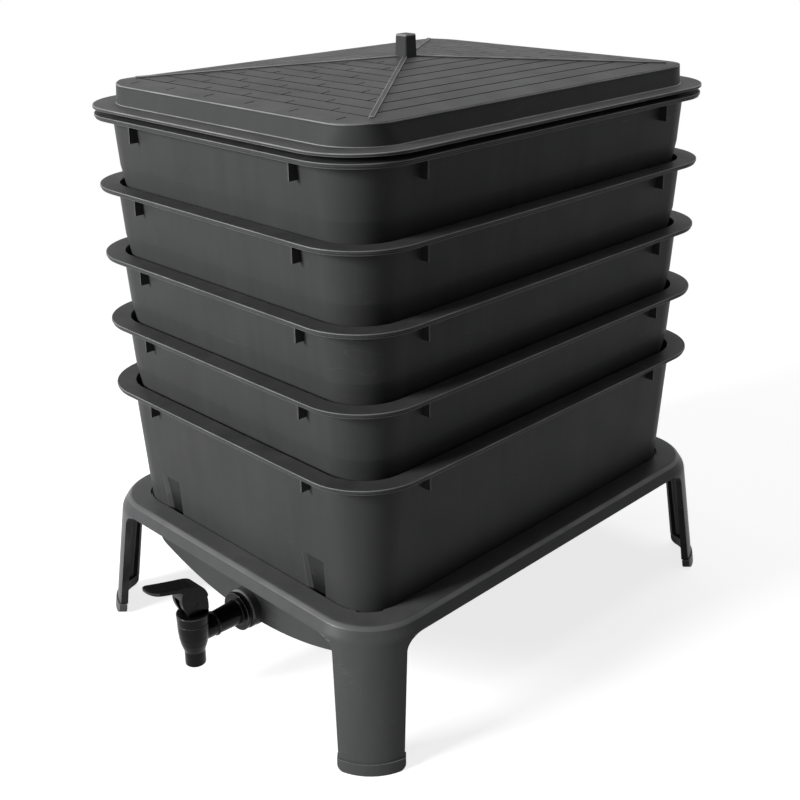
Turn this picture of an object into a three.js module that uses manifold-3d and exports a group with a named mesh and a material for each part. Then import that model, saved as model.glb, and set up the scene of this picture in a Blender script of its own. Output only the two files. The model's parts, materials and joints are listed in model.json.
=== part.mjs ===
// A wormery: five stacking trays under a hipped lid, on a four-legged stand with a
// liquid collector and a drain tap. Millimetres, +Z up, ground at z = 0, tap towards -Y.
import * as THREE from 'three';
import { mergeVertices } from 'three/addons/utils/BufferGeometryUtils.js';
import ManifoldModule from 'manifold-3d';

const wasm = await ManifoldModule();
wasm.setup();
const { Manifold, Mesh: ManifoldMesh } = wasm;

// Clearances and the moulded wall, shared by every piece
const clearance = 0.3; // between two pieces that touch
const wall = 2.5; // moulded wall
const overlap = 1; // how far a cutter or a joined piece runs past a face

// Counts
const trayCount = 5;
const cornerSteps = 6; // facets of one plan corner
const roundSteps = 24; // facets of a tap circle
const troughSteps = 18; // facets of the collector's floor
const filletSteps = 5; // facets of a leg's fillet
const corners = [[-1, -1], [1, -1], [1, 1], [-1, 1]];
const sides = [-1, 1];

// Rims of the trays
const rim = {
  halfX: 220,
  halfY: 282,
  cornerR: 69,
  overhang: 18.5, // from the wall's outer face to the rim's edge
  thick: 5,
  edgeChamfer: 1.2,
  step: 1, // set-back of the rim edge's lower half
};
const trayPitch = 75; // rim top to rim top
const nestDepth = 20; // a tray's foot reaches this far below the rim it stands in
const bandHeight = 39; // height of the tapered foot band of an upper tray
const bottomBandHeight = 44; // the same on the bottom tray
const draft = 0.078; // inward run of a wall per unit of height
const bandDraft = 0.126; // the same on an upper tray's foot band
const bottomBandDraft = 0.09; // the same on the bottom tray's foot band
const bandTuck = 9; // added corner radius at the foot of an upper tray

// Thin gusset plates under the rims
const gusset = { thick: 1.8, reach: 8.5, drop: 25, atX: 124, atY: 185 };
// Ledges inside a tray that carry the tray above
const seatRib = { width: 5, bearing: 6, atX: 96, atY: 140 };
// Square drain holes through the tray floors
const drain = { size: 10, across: 6, along: 8, pitchX: 52, pitchY: 54 };

// Bottom tray and the two hand recesses at its front and back
const ledgeHeight = 145; // top face of the stand
const bottomRimAboveLedge = 141.75;
const bottomNest = 18.25; // how far the bottom tray sinks into the stand
const recess = { inner: 104, width: 29.5, aboveLedge: 40, depthTop: 5, depthFoot: 9 };

// Lid
const lid = {
  ventGap: 5.6, // air gap over the top rim, held open by the pads
  flangeGrowth: 1, // the flange is this much larger than a rim
  flangeThick: 3.2,
  flangeEdge: 1.1,
  bandInsetX: 19,
  bandInsetY: 22.5,
  bandCornerR: 54,
  bandHeight: 20.4,
  bandLean: 4.5, // how far the band leans in
  eavesRound: 1.2,
  eavesCornerR: 40,
  roofRise: 17,
  roofTip: 2, // half-size of the roof's blunt tip
  skin: 2.6,
  skirtDepth: 13,
  skirtGap: 1.6, // from the skirt to the tray's mouth
  padLong: 14,
  padWide: 5,
  padInset: 4, // from the tray's mouth to the middle of a pad
  padAtX: 96,
  padAtY: 140,
};
const ridge = { width: 5, proud: 1.7, root: 2.2 };
const ridgeAim = 32; // degrees from the X axis round the corner of the eaves, where a rib points
const ridgeEndShare = 0.95; // of the way there from the tip
const knob = { half: 9, lean: 1, height: 27, edge: 2, cornerR: 3, bury: 3 };

// Stand
const stand = {
  openingGap: 1.4, // from the bottom tray's wall to the opening it stands in
  topWidthX: 27.6, // top face, from the opening to where the apron starts
  topWidthY: 24.6,
  edgeCornerGain: 20.6, // the outer edge's corner radius is this much larger than the opening's
  edgeRound: 5,
  apronDrop: 13,
  apronFlare: 6.5,
  legFlare: 9.4, // how far a leg leans out below the apron
  legCornerR: 58, // plan radius of the legs at the ground
  legHalfTop: 35.5,
  legHalfFoot: 31.3,
  filletR: 15,
  returnDepth: 10, // depth of the side walls behind a leg's outer wall, at the ground
  returnDepthTop: 3, // and at the apron
  notchHalf: 13,
  notchDepth: 2,
  shelfWidth: 4.2,
};
const edgeRoundShares = [[1, 0], [0.3, 0.3], [0, 1]]; // inset and drop of the rounded edge
const foot = { height: 12, proud: 2, thick: 9.5, sole: 4, chamfer: 1, cornerR: 5 };

// Collector bowl
const bowl = {
  flangeThick: 3,
  flangeGap: 0.6,
  draftRatio: 0.039,
  frontDepth: 62.4, // from the flange's underside to the outer floor, at the front
  troughR: 440,
  backRise: 20, // the floor climbs this much towards the back
  sumpR: 22,
  sumpLength: 30,
  bossR: 21.5,
  bossOut: 10.7,
  bossEdge: 2,
  padIn: 1.2, // flat pad inside the front wall
};

// Tap, measured from its pipe's axis and its barrel's axis
const tap = {
  pipeAboveFloor: 13.2, // pipe axis above the collector's outer floor
  pipeLength: 54.7,
  pipeR: 11.5,
  pipeRootR: 13,
  pipeRootFrom: 36,
  beadR: 13.4,
  beadFrom: 31.5,
  beadTo: 34.5,
  pipeBoreR: 6,
  flangeR: 21,
  flangeThick: 3.5,
  shankR: 9,
  shankTail: 4,
  barrelR: 16.25,
  barrelTop: 14.6,
  taperFrom: -5.2,
  taperTo: -19.6,
  spoutR: 10.75,
  spoutEnd: -33.6,
  spoutBoreR: 8.5,
  chamberR: 12.5,
  seatZ: -6.25,
  seatThick: 3.75,
  seatR: 6,
};
const washer = { thick: 2.5, outerR: 19.5, innerThick: 2.5, innerOuterR: 16 };
const nut = { acrossR: 16, thick: 9 };
const nutSides = 6;
const collar = { height: 10.75, flareR: 16.9, edge: 1.2, plugDepth: 7, plugWall: 2.7, guideWall: 2.4 };
const stem = { r: 3.4, headHalf: 5, pinHeight: 12, pinR: 1.9 };
const seal = { r: 8.5, thick: 4.5, socket: 2.2 };
const lever = {
  hubHalf: 8.5,
  paddleHalf: 11,
  slotGap: 0.5,
  slotBackWall: 5,
  slotRoof: 23,
  reach: 54, // from the barrel's axis to the paddle's tip
  rise: 48.9, // from the foot of the hub to the paddle's tip
};
// Side outlines of the lever, as shares of its reach and of its rise
const leverHubShares = [
  [-0.176, 0], [0.276, 0], [0.281, 0.157], [0.256, 0.321], [0.2, 0.485], [0.093, 0.597],
  [-0.111, 0.628], [-0.259, 0.669], [-0.306, 0.546], [-0.32, 0.423], [-0.287, 0.26], [-0.213, 0.096],
];
const leverPaddleShares = [
  [0.213, 0.444], [0.196, 0.513], [0.102, 0.62], [-0.028, 0.685], [-0.222, 0.746], [-0.472, 0.824],
  [-0.833, 0.935], [-1, 1], [-1, 0.943], [-0.852, 0.869], [-0.63, 0.791], [-0.389, 0.722],
  [-0.241, 0.638], [-0.074, 0.546], [0.074, 0.444],
];

const plastic = new THREE.MeshStandardMaterial({ color: 0x3b3c3e, roughness: 0.55, metalness: 0 });
const tapPlastic = new THREE.MeshStandardMaterial({ color: 0x0c0c0d, roughness: 0.22, metalness: 0 });
const rubber = new THREE.MeshStandardMaterial({ color: 0x17171a, roughness: 0.8, metalness: 0 });
const steel = new THREE.MeshStandardMaterial({ color: 0xb9bcc0, roughness: 0.3, metalness: 1 });

// Solids
function toSolid(geometry) {
  const bare = geometry.clone();
  bare.deleteAttribute('normal');
  bare.deleteAttribute('uv');
  const welded = mergeVertices(bare, 1e-4);
  return new Manifold(new ManifoldMesh({
    numProp: 3,
    vertProperties: new Float32Array(welded.attributes.position.array),
    triVerts: new Uint32Array(welded.index.array),
  }));
}

function toGeometry(solid) {
  const mesh = solid.getMesh();
  const count = mesh.vertProperties.length / mesh.numProp;
  const places = new Float32Array(count * 3);
  for (let i = 0; i < count; i += 1) {
    for (let k = 0; k < 3; k += 1) places[i * 3 + k] = mesh.vertProperties[i * mesh.numProp + k];
  }
  const geometry = new THREE.BufferGeometry();
  geometry.setAttribute('position', new THREE.BufferAttribute(places, 3));
  geometry.setIndex(new THREE.BufferAttribute(new Uint32Array(mesh.triVerts), 1));
  geometry.computeVertexNormals();
  return geometry;
}

const joined = (solids) => solids.reduce((sum, solid) => sum.add(solid));

// One plan outline: a rectangle with rounded corners, as a ring of points
function planRing({ halfX, halfY, cornerR, z }) {
  const ring = [];
  const turns = [[1, 1], [-1, 1], [-1, -1], [1, -1]];
  turns.forEach(([sx, sy], turn) => {
    for (let i = 0; i <= cornerSteps; i += 1) {
      const angle = (turn + i / cornerSteps) * Math.PI / 2;
      ring.push([
        sx * (halfX - cornerR) + cornerR * Math.cos(angle),
        sy * (halfY - cornerR) + cornerR * Math.sin(angle),
        z,
      ]);
    }
  });
  return ring;
}

// A closed solid through plan outlines listed from the bottom up
function loft(levels) {
  const rings = levels.map(planRing);
  const size = rings[0].length;
  const index = [];
  for (let level = 0; level + 1 < rings.length; level += 1) {
    for (let i = 0; i < size; i += 1) {
      const a = level * size + i;
      const b = level * size + (i + 1) % size;
      index.push(a, b, b + size, a, b + size, a + size);
    }
  }
  const top = (rings.length - 1) * size;
  for (let i = 1; i + 1 < size; i += 1) {
    index.push(0, i + 1, i, top, top + i, top + i + 1);
  }
  const geometry = new THREE.BufferGeometry();
  geometry.setAttribute('position', new THREE.Float32BufferAttribute(rings.flat(2), 3));
  geometry.setIndex(index);
  return toSolid(geometry);
}

// The same outline moved out by a distance
function grown(outline, by) {
  return {
    ...outline,
    halfX: outline.halfX + by,
    halfY: outline.halfY + by,
    cornerR: outline.cornerR + by,
  };
}

const at = (outline, z) => ({ ...outline, z });

function prism(outline, z0, z1) {
  return loft([at(outline, z0), at(outline, z1)]);
}

function block(x0, x1, y0, y1, z0, z1) {
  const box = new THREE.BoxGeometry(x1 - x0, y1 - y0, z1 - z0);
  box.translate((x0 + x1) / 2, (y0 + y1) / 2, (z0 + z1) / 2);
  return toSolid(box);
}

// An outline of [right, up] points, extruded along its normal by depth
function extruded(points, depth) {
  const shape = new THREE.Shape(points.map(([a, b]) => new THREE.Vector2(a, b)));
  return new THREE.ExtrudeGeometry(shape, { depth, bevelEnabled: false, steps: 1 });
}

// A side outline of [y, z] points, extruded over x0..x1
function sideExtruded(points, x0, x1) {
  const geometry = extruded(points, x1 - x0);
  geometry.applyMatrix4(new THREE.Matrix4().set(
    0, 0, 1, x0,
    1, 0, 0, 0,
    0, 1, 0, 0,
    0, 0, 0, 1,
  ));
  return toSolid(geometry);
}

// A closed profile of [radius, height] points turned about +Z
function turned(profile, steps = roundSteps) {
  const points = [...profile, profile[0]].map(([r, h]) => new THREE.Vector2(r, h));
  const geometry = new THREE.LatheGeometry(points, steps);
  geometry.rotateX(Math.PI / 2);
  return toSolid(geometry);
}

// The same, turned about +Y, with heights measured along +Y
function turnedAlongY(profile, steps = roundSteps) {
  return turned(profile, steps).rotate([-90, 0, 0]);
}

const rod = (r, z0, z1, steps) => turned([[0, z0], [r, z0], [r, z1], [0, z1]], steps);
const rodAlongY = (r, y0, y1, steps) => turnedAlongY([[0, y0], [r, y0], [r, y1], [0, y1]], steps);
const rodAlongX = (r, x0, x1) => rod(r, x0, x1).rotate([0, 90, 0]);

// Heights of the stack
const bottomRimZ = ledgeHeight + bottomRimAboveLedge;
const rimZ = (tray) => bottomRimZ + (trayCount - tray) * trayPitch; // tray 1 is the top one
const topRimZ = rimZ(1);
const upperTrayHeight = trayPitch + nestDepth;
const bottomTrayHeight = bottomRimAboveLedge + bottomNest;
const seatDrop = nestDepth + clearance; // rim top to the ledges that carry the next tray

// Trays, each modelled with its rim's top at z = 0
const rimOutline = { halfX: rim.halfX, halfY: rim.halfY, cornerR: rim.cornerR };
const wallTop = grown(rimOutline, -rim.overhang); // outer face of a wall, just under the rim

function wallOutlines(height, band, bandSlope, tuck) {
  const bandTop = height - band;
  const bandStart = grown(wallTop, -draft * (bandTop - rim.thick));
  const tucked = grown(bandStart, -bandSlope * band);
  return [
    at({ ...tucked, cornerR: tucked.cornerR + tuck }, -height),
    at(bandStart, -bandTop),
    at(wallTop, -rim.thick),
  ];
}

const upperWall = wallOutlines(upperTrayHeight, bandHeight, bandDraft, bandTuck);
const bottomWall = wallOutlines(bottomTrayHeight, bottomBandHeight, bottomBandDraft, 0);
const mouth = grown(wallTop, draft * rim.thick - wall); // inner edge of a rim

// Outline of a wall's outer face at a height
function wallOutline(walls, z) {
  const [low, mid, high] = walls;
  const [a, b] = z < mid.z ? [low, mid] : [mid, high];
  const sized = (key) => THREE.MathUtils.mapLinear(z, a.z, b.z, a[key], b[key]);
  return { halfX: sized('halfX'), halfY: sized('halfY'), cornerR: sized('cornerR'), z };
}

function trayShell(walls) {
  const rimMid = -rim.thick / 2;
  const body = loft(walls);
  const flange = loft([
    at(grown(rimOutline, -rim.step), -rim.thick),
    at(grown(rimOutline, -rim.step), rimMid),
    at(rimOutline, rimMid + rim.step / 2),
    at(rimOutline, -rim.edgeChamfer),
    at(grown(rimOutline, -rim.edgeChamfer), 0),
  ]);
  return body.add(flange);
}

function trayHollow(walls) {
  const [low, mid] = walls;
  const floorTop = at(grown(low, -wall), low.z + wall);
  return loft([floorTop, at(grown(mid, -wall), mid.z), at(mouth, 0), at(mouth, overlap)]);
}

function gussets() {
  const top = -rim.thick / 2;
  const half = gusset.thick / 2;
  const root = draft * gusset.drop + wall / 2;
  const plates = [];
  for (const side of sides) {
    for (const end of sides) {
      const x = side * gusset.atX;
      const y = side * gusset.atY;
      const ys = [end * (wallTop.halfY - root), end * (wallTop.halfY + gusset.reach)].sort((a, b) => a - b);
      const xs = [end * (wallTop.halfX - root), end * (wallTop.halfX + gusset.reach)].sort((a, b) => a - b);
      plates.push(block(x - half, x + half, ys[0], ys[1], -gusset.drop, top));
      plates.push(block(xs[0], xs[1], y - half, y + half, -gusset.drop, top));
    }
  }
  return joined(plates);
}

// Posts against the inner walls, whose tops carry the foot of the tray above
function seatRibs(walls, height) {
  const foot0 = upperWall[0];
  const tipX = foot0.halfX - seatRib.bearing;
  const tipY = foot0.halfY - seatRib.bearing;
  const half = seatRib.width / 2;
  const posts = [];
  for (const side of sides) {
    for (const end of sides) {
      const ys = [end * tipY, end * rim.halfY].sort((a, b) => a - b);
      const xs = [end * tipX, end * rim.halfX].sort((a, b) => a - b);
      const x = side * seatRib.atX;
      const y = side * seatRib.atY;
      posts.push(block(x - half, x + half, ys[0], ys[1], -height + wall / 2, -seatDrop));
      posts.push(block(xs[0], xs[1], y - half, y + half, -height + wall / 2, -seatDrop));
    }
  }
  return joined(posts).intersect(loft(walls));
}

function drainHoles(height) {
  const holes = [];
  const half = drain.size / 2;
  for (let i = 0; i < drain.across; i += 1) {
    for (let j = 0; j < drain.along; j += 1) {
      const x = (i - (drain.across - 1) / 2) * drain.pitchX;
      const y = (j - (drain.along - 1) / 2) * drain.pitchY;
      holes.push(block(x - half, x + half, y - half, y + half, -height - overlap, -height + wall + overlap));
    }
  }
  return Manifold.compose(holes);
}

function trayBlank(walls, height) {
  return trayShell(walls).subtract(trayHollow(walls)).add(gussets()).add(seatRibs(walls, height));
}

const upperTray = () => trayBlank(upperWall, upperTrayHeight).subtract(drainHoles(upperTrayHeight));

// Hand recesses: pockets open at the foot, with a liner behind each
function recessSide(side, end, inset, growth) {
  const low = bottomWall[0];
  const pocketTop = -bottomRimAboveLedge + recess.aboveLedge;
  const top = pocketTop + growth;
  const depth = (z) => THREE.MathUtils.mapLinear(z, pocketTop, low.z, recess.depthTop, recess.depthFoot);
  const back = (z) => end * (wallOutline(bottomWall, z).halfY - depth(z) - inset);
  const outline = [
    [back(low.z), low.z - overlap * (growth ? 0 : 1)],
    [end * rim.halfY, low.z - overlap * (growth ? 0 : 1)],
    [end * rim.halfY, top],
    [back(top), top],
    [back(bottomWall[1].z), bottomWall[1].z],
  ];
  const xs = [side * (recess.inner - growth), side * (recess.inner + recess.width + growth)];
  xs.sort((a, b) => a - b);
  return sideExtruded(end > 0 ? outline : outline.reverse(), xs[0], xs[1]);
}

function bottomTray() {
  const liners = [];
  const pockets = [];
  for (const side of sides) {
    for (const end of sides) {
      liners.push(recessSide(side, end, wall, wall));
      pockets.push(recessSide(side, end, 0, 0));
    }
  }
  return trayBlank(bottomWall, bottomTrayHeight)
    .add(joined(liners).intersect(loft(bottomWall)))
    .subtract(joined(pockets))
    .subtract(drainHoles(bottomTrayHeight));
}

// Lid, modelled with the underside of its flange at z = 0
const lidFlange = grown(rimOutline, lid.flangeGrowth);
const bandFoot = {
  halfX: rim.halfX - lid.bandInsetX,
  halfY: rim.halfY - lid.bandInsetY,
  cornerR: lid.bandCornerR,
};
const eaves = {
  halfX: bandFoot.halfX - lid.bandLean,
  halfY: bandFoot.halfY - lid.bandLean,
  cornerR: lid.eavesCornerR,
};
const eavesZ = lid.flangeThick + lid.bandHeight;
const roofEdge = grown(eaves, -lid.eavesRound);
const roofZ = eavesZ + lid.roofRise;
const roofTip = { halfX: lid.roofTip, halfY: lid.roofTip, cornerR: lid.roofTip / 2 };

function lidOuter() {
  return loft([
    at(lidFlange, 0),
    at(lidFlange, lid.flangeThick - lid.flangeEdge),
    at(grown(lidFlange, -lid.flangeEdge), lid.flangeThick),
    at(bandFoot, lid.flangeThick),
    at(eaves, eavesZ - lid.eavesRound),
    at(roofEdge, eavesZ),
    at(roofTip, roofZ),
  ]);
}

function lidHollow() {
  const low = grown(mouth, -lid.skirtGap - lid.skin);
  return loft([
    at(low, -overlap),
    at(low, lid.flangeThick),
    at(grown(eaves, -lid.skin), eavesZ - lid.skin),
    at(roofTip, roofZ - lid.skin),
  ]);
}

function lidSkirt() {
  const outer = grown(mouth, -lid.skirtGap);
  return prism(outer, -lid.skirtDepth, lid.flangeThick / 2)
    .subtract(prism(grown(outer, -lid.skin), -lid.skirtDepth - overlap, lid.flangeThick));
}

// Short pads that hold the flange off the top rim and leave an air gap
function lidPads() {
  const pads = [];
  const top = lid.flangeThick / 2;
  const bottom = -lid.ventGap + clearance;
  const middleX = mouth.halfX + lid.padInset;
  const middleY = mouth.halfY + lid.padInset;
  const long = lid.padLong / 2;
  const wide = lid.padWide / 2;
  for (const side of sides) {
    for (const end of sides) {
      const x = side * lid.padAtX;
      const y = side * lid.padAtY;
      pads.push(block(x - long, x + long, end * middleY - wide, end * middleY + wide, bottom, top));
      pads.push(block(end * middleX - wide, end * middleX + wide, y - long, y + long, bottom, top));
    }
  }
  return joined(pads);
}

// A raised rib from the roof's tip towards one corner of the eaves
function ridgeRib([sx, sy]) {
  const aim = THREE.MathUtils.degToRad(ridgeAim);
  const end = new THREE.Vector3(
    sx * (roofEdge.halfX - roofEdge.cornerR * (1 - Math.cos(aim))) * ridgeEndShare,
    sy * (roofEdge.halfY - roofEdge.cornerR * (1 - Math.sin(aim))) * ridgeEndShare,
    THREE.MathUtils.lerp(roofZ, eavesZ, ridgeEndShare),
  );
  const start = new THREE.Vector3(0, 0, roofZ);
  const run = new THREE.Vector3().subVectors(end, start);
  const box = new THREE.BoxGeometry(run.length(), ridge.width, ridge.proud + ridge.root);
  box.translate(run.length() / 2, 0, (ridge.proud - ridge.root) / 2);
  const along = run.clone().normalize();
  const across = new THREE.Vector3(0, 0, 1).cross(along).normalize();
  const up = new THREE.Vector3().crossVectors(along, across);
  box.applyMatrix4(new THREE.Matrix4().makeBasis(along, across, up).setPosition(start));
  return toSolid(box);
}

function lidKnob() {
  const root = { halfX: knob.half, halfY: knob.half, cornerR: knob.cornerR };
  const high = grown(root, -knob.lean);
  const top = roofZ - knob.bury + knob.height;
  return loft([
    at(root, roofZ - knob.bury),
    at(high, top - knob.edge),
    at({ ...grown(high, -knob.edge), cornerR: high.cornerR }, top),
  ]);
}

function lidSolid() {
  return lidOuter()
    .subtract(lidHollow())
    .add(lidSkirt())
    .add(lidPads())
    .add(joined(corners.map(ridgeRib)))
    .add(lidKnob());
}

// Stand
const bottomWallAtLedge = wallOutline(bottomWall, -bottomRimAboveLedge);
const opening = grown(bottomWallAtLedge, stand.openingGap);
const standEdge = {
  halfX: opening.halfX + stand.topWidthX,
  halfY: opening.halfY + stand.topWidthY,
  cornerR: opening.cornerR + stand.edgeCornerGain,
};
const apronFoot = grown(standEdge, stand.apronFlare);
const apronBottomZ = ledgeHeight - stand.apronDrop;
const legFoot = { ...grown(apronFoot, stand.legFlare), cornerR: stand.legCornerR };
const bottomTrayFootZ = bottomRimZ - bottomTrayHeight;
const bowlFlangeTopZ = bottomTrayFootZ - clearance;
const bowlFlangeBottomZ = bowlFlangeTopZ - bowl.flangeThick;
const shelfTopZ = bowlFlangeBottomZ - clearance;
const shelfBottomZ = shelfTopZ - wall;

// The stand's outer surface, moved in by a distance, which may differ at the ground
function standSurface(inset, top, footInset = inset) {
  const rounded = edgeRoundShares.map(([inShare, dropShare]) => at(
    grown(standEdge, -inset - stand.edgeRound * inShare),
    ledgeHeight - top - stand.edgeRound * dropShare,
  ));
  return loft([
    at(grown(legFoot, -footInset), -overlap),
    at(grown(apronFoot, -inset), apronBottomZ),
    ...rounded.reverse(),
  ]);
}

// Front view of one leg: tapered, with a fillet on each side where it meets the apron
function legOutline(inset) {
  const right = [[stand.legHalfFoot - inset, -overlap]];
  const filletZ = apronBottomZ - stand.filletR;
  for (let i = 0; i <= filletSteps; i += 1) {
    const angle = (i / filletSteps) * Math.PI / 2;
    right.push([
      stand.legHalfTop - inset + stand.filletR * (1 - Math.cos(angle)),
      filletZ + stand.filletR * Math.sin(angle),
    ]);
  }
  right.push([stand.legHalfTop - inset + stand.filletR, ledgeHeight - stand.edgeRound]);
  const left = right.map(([t, z]) => [-t, z]).reverse();
  return [...right, ...left];
}

// Puts a solid modelled with x across the leg and z outwards at one corner of the stand
function atCorner(geometry, [sx, sy]) {
  const out = new THREE.Vector3(sx, sy, 0).normalize();
  const up = new THREE.Vector3(0, 0, 1);
  const across = new THREE.Vector3().crossVectors(up, out);
  const basis = new THREE.Matrix4().makeBasis(across, up, out);
  basis.setPosition(
    sx * (standEdge.halfX - standEdge.cornerR),
    sy * (standEdge.halfY - standEdge.cornerR),
    0,
  );
  geometry.applyMatrix4(basis);
  return toSolid(geometry);
}

const cornerReach = standEdge.cornerR * 2; // depth of a leg's cutter, outwards from the corner's centre

function legPrism(corner, inset = 0) {
  return atCorner(extruded(legOutline(inset), cornerReach), corner);
}

// The space between two heights, wider than the stand
function slab(z0, z1) {
  const reach = 2 * rim.halfY;
  return block(-reach, reach, -reach, reach, z0, z1);
}

// Apron, top face and the legs' outer walls: one skin, cut away between the legs
function standSkin() {
  const kept = joined(corners.map((corner) => legPrism(corner)))
    .intersect(slab(foot.sole + clearance, ledgeHeight))
    .add(slab(apronBottomZ, ledgeHeight + overlap));
  return standSurface(0, 0).subtract(standSurface(wall, wall)).intersect(kept);
}

// Side walls that run back from the edges of each leg
function legReturns() {
  const behind = standSurface(wall + stand.returnDepthTop, wall, wall + stand.returnDepth);
  const deep = standSurface(wall / 2, wall / 2).subtract(behind);
  const cheeks = corners.map((corner) => legPrism(corner).subtract(legPrism(corner, wall)));
  return deep.intersect(joined(cheeks)).intersect(slab(foot.height + clearance, ledgeHeight));
}

// Shallow steps that widen the opening round its corners
function cornerNotches() {
  const inset = (standEdge.halfX - standEdge.cornerR) - (opening.halfX - opening.cornerR);
  const insetY = (standEdge.halfY - standEdge.cornerR) - (opening.halfY - opening.cornerR);
  const boxes = corners.map((corner) => {
    const box = new THREE.BoxGeometry(2 * stand.notchHalf, 2 * wall, 2 * opening.cornerR);
    box.translate(0, ledgeHeight, opening.cornerR - (inset + insetY) * Math.SQRT1_2);
    return atCorner(box, corner);
  });
  return joined(boxes).intersect(prism(grown(opening, stand.notchDepth), ledgeHeight - 2 * wall, ledgeHeight + wall));
}

function standSolid() {
  const collarWall = prism(grown(opening, wall), shelfBottomZ, ledgeHeight - wall / 2);
  const shelfHole = grown(opening, -stand.shelfWidth);
  return standSkin()
    .add(legReturns())
    .add(collarWall)
    .subtract(prism(opening, shelfTopZ, ledgeHeight + overlap))
    .subtract(prism(shelfHole, shelfBottomZ - overlap, ledgeHeight))
    .subtract(cornerNotches());
}

// Feet: shoes pushed over the ends of the legs' outer walls
function legSurface(growth, z0, z1) {
  const level = (z) => {
    const share = THREE.MathUtils.inverseLerp(-overlap, apronBottomZ, z);
    const mix = (key) => THREE.MathUtils.lerp(legFoot[key], apronFoot[key], share);
    return at(grown({ halfX: mix('halfX'), halfY: mix('halfY'), cornerR: mix('cornerR') }, growth), z);
  };
  return loft([level(z0), level(z1)]);
}

function footSlab(corner, half, z0, z1) {
  const outline = [[-half, z0], [half, z0], [half, z1], [-half, z1]];
  return atCorner(extruded(outline, cornerReach), corner);
}

// Front view of a foot: a band whose lower corners are round
function footBand(corner, half) {
  const right = [];
  for (let i = 0; i <= filletSteps; i += 1) {
    const angle = (i / filletSteps) * Math.PI / 2;
    right.push([
      half - foot.cornerR * (1 - Math.sin(angle)),
      foot.cornerR * (1 - Math.cos(angle)),
    ]);
  }
  right.push([half, foot.height]);
  const left = right.map(([t, z]) => [-t, z]).reverse();
  return atCorner(extruded([...right, ...left], cornerReach), corner);
}

function footSolid(corner) {
  const half = stand.legHalfFoot + foot.proud;
  const bevel = foot.chamfer;
  const body = legSurface(foot.proud, bevel, foot.height)
    .subtract(legSurface(foot.proud - foot.thick, 0, foot.height + overlap))
    .intersect(footBand(corner, half));
  const sole = legSurface(foot.proud - bevel, 0, bevel)
    .subtract(legSurface(foot.proud - foot.thick, -overlap, foot.height))
    .intersect(footBand(corner, half));
  const slot = legSurface(clearance, foot.sole, foot.height + overlap)
    .subtract(legSurface(-wall - clearance, foot.sole - overlap, foot.height + overlap))
    .intersect(footSlab(corner, stand.legHalfFoot + 2 * clearance, foot.sole, foot.height + overlap));
  return body.add(sole).subtract(slot);
}

// Collector bowl
const bowlTop = grown(opening, -stand.shelfWidth - clearance);
const bowlFloorZ = bowlFlangeBottomZ - bowl.frontDepth; // outer floor at the front, midway across
const pipeZ = bowlFloorZ + tap.pipeAboveFloor;
const bowlFrontHalf = bowlTop.halfY - bowl.draftRatio * (bowlFlangeBottomZ - pipeZ);

function bowlPrism(inset, top) {
  const lowZ = bowlFloorZ - 2 * overlap;
  const low = grown(bowlTop, -bowl.draftRatio * (bowlFlangeBottomZ - lowZ));
  return loft([at(grown(low, -inset), lowZ), at(grown(bowlTop, -inset), top)]);
}

// The space above the curved, sloping floor
function troughSpace(inset) {
  const half = opening.halfX;
  const points = [];
  for (let i = 0; i <= troughSteps; i += 1) {
    const x = half * (2 * i / troughSteps - 1);
    points.push([x, bowlFloorZ + bowl.troughR - Math.sqrt((bowl.troughR - inset) ** 2 - x ** 2)]);
  }
  points.push([half, ledgeHeight], [-half, ledgeHeight]);
  const length = 2 * opening.halfY;
  const slope = bowl.backRise / length;
  const geometry = extruded(points, length);
  geometry.applyMatrix4(new THREE.Matrix4().set(
    1, 0, 0, 0,
    0, 0, -1, length / 2,
    0, 1, -slope, slope * length,
    0, 0, 0, 1,
  ));
  return toSolid(geometry);
}

function bowlSolid() {
  const front = -bowlFrontHalf;
  const flange = prism(grown(opening, -bowl.flangeGap), bowlFlangeBottomZ, bowlFlangeTopZ);
  const outer = bowlPrism(0, bowlFlangeBottomZ + overlap).intersect(troughSpace(0));
  const sump = rodAlongY(bowl.sumpR, front, front + bowl.sumpLength).translate([0, 0, pipeZ]);
  const bossFace = front - bowl.bossOut;
  const boss = turnedAlongY([
    [0, bossFace], [bowl.bossR - bowl.bossEdge, bossFace],
    [bowl.bossR - bowl.bossEdge * (1 - Math.SQRT1_2), bossFace + bowl.bossEdge * (1 - Math.SQRT1_2)],
    [bowl.bossR, bossFace + bowl.bossEdge], [bowl.bossR, front + wall / 2], [0, front + wall / 2],
  ]).translate([0, 0, pipeZ]);
  const inner = bowlPrism(wall, bowlFlangeTopZ + overlap).intersect(troughSpace(wall));
  const padFace = front + wall + bowl.padIn;
  const pad = rodAlongY(bowl.sumpR, front + wall / 2, padFace).translate([0, 0, pipeZ]);
  const sumpInner = rodAlongY(bowl.sumpR - wall, padFace, front + bowl.sumpLength - wall)
    .translate([0, 0, pipeZ]);
  const bore = rodAlongY(tap.shankR + 2 * clearance, bossFace - overlap, padFace + overlap)
    .translate([0, 0, pipeZ]);
  return outer.add(flange).add(sump).subtract(inner).subtract(sumpInner).add(boss).add(pad).subtract(bore);
}

// Tap. Along Y, from the boss on the bowl out to the barrel's axis
const bossFaceY = -bowlFrontHalf - bowl.bossOut;
const flangeBackY = bossFaceY - 2 * clearance - washer.thick;
const barrelY = flangeBackY - tap.flangeThick - tap.pipeLength;
const padFaceY = -bowlFrontHalf + wall + bowl.padIn;
const innerWasherY = padFaceY + clearance;
const nutY = innerWasherY + washer.innerThick + clearance;
const nutEndY = nutY + nut.thick;
const collarTopZ = tap.barrelTop + clearance + collar.height;
const pinZ = collarTopZ + stem.pinHeight;

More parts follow.
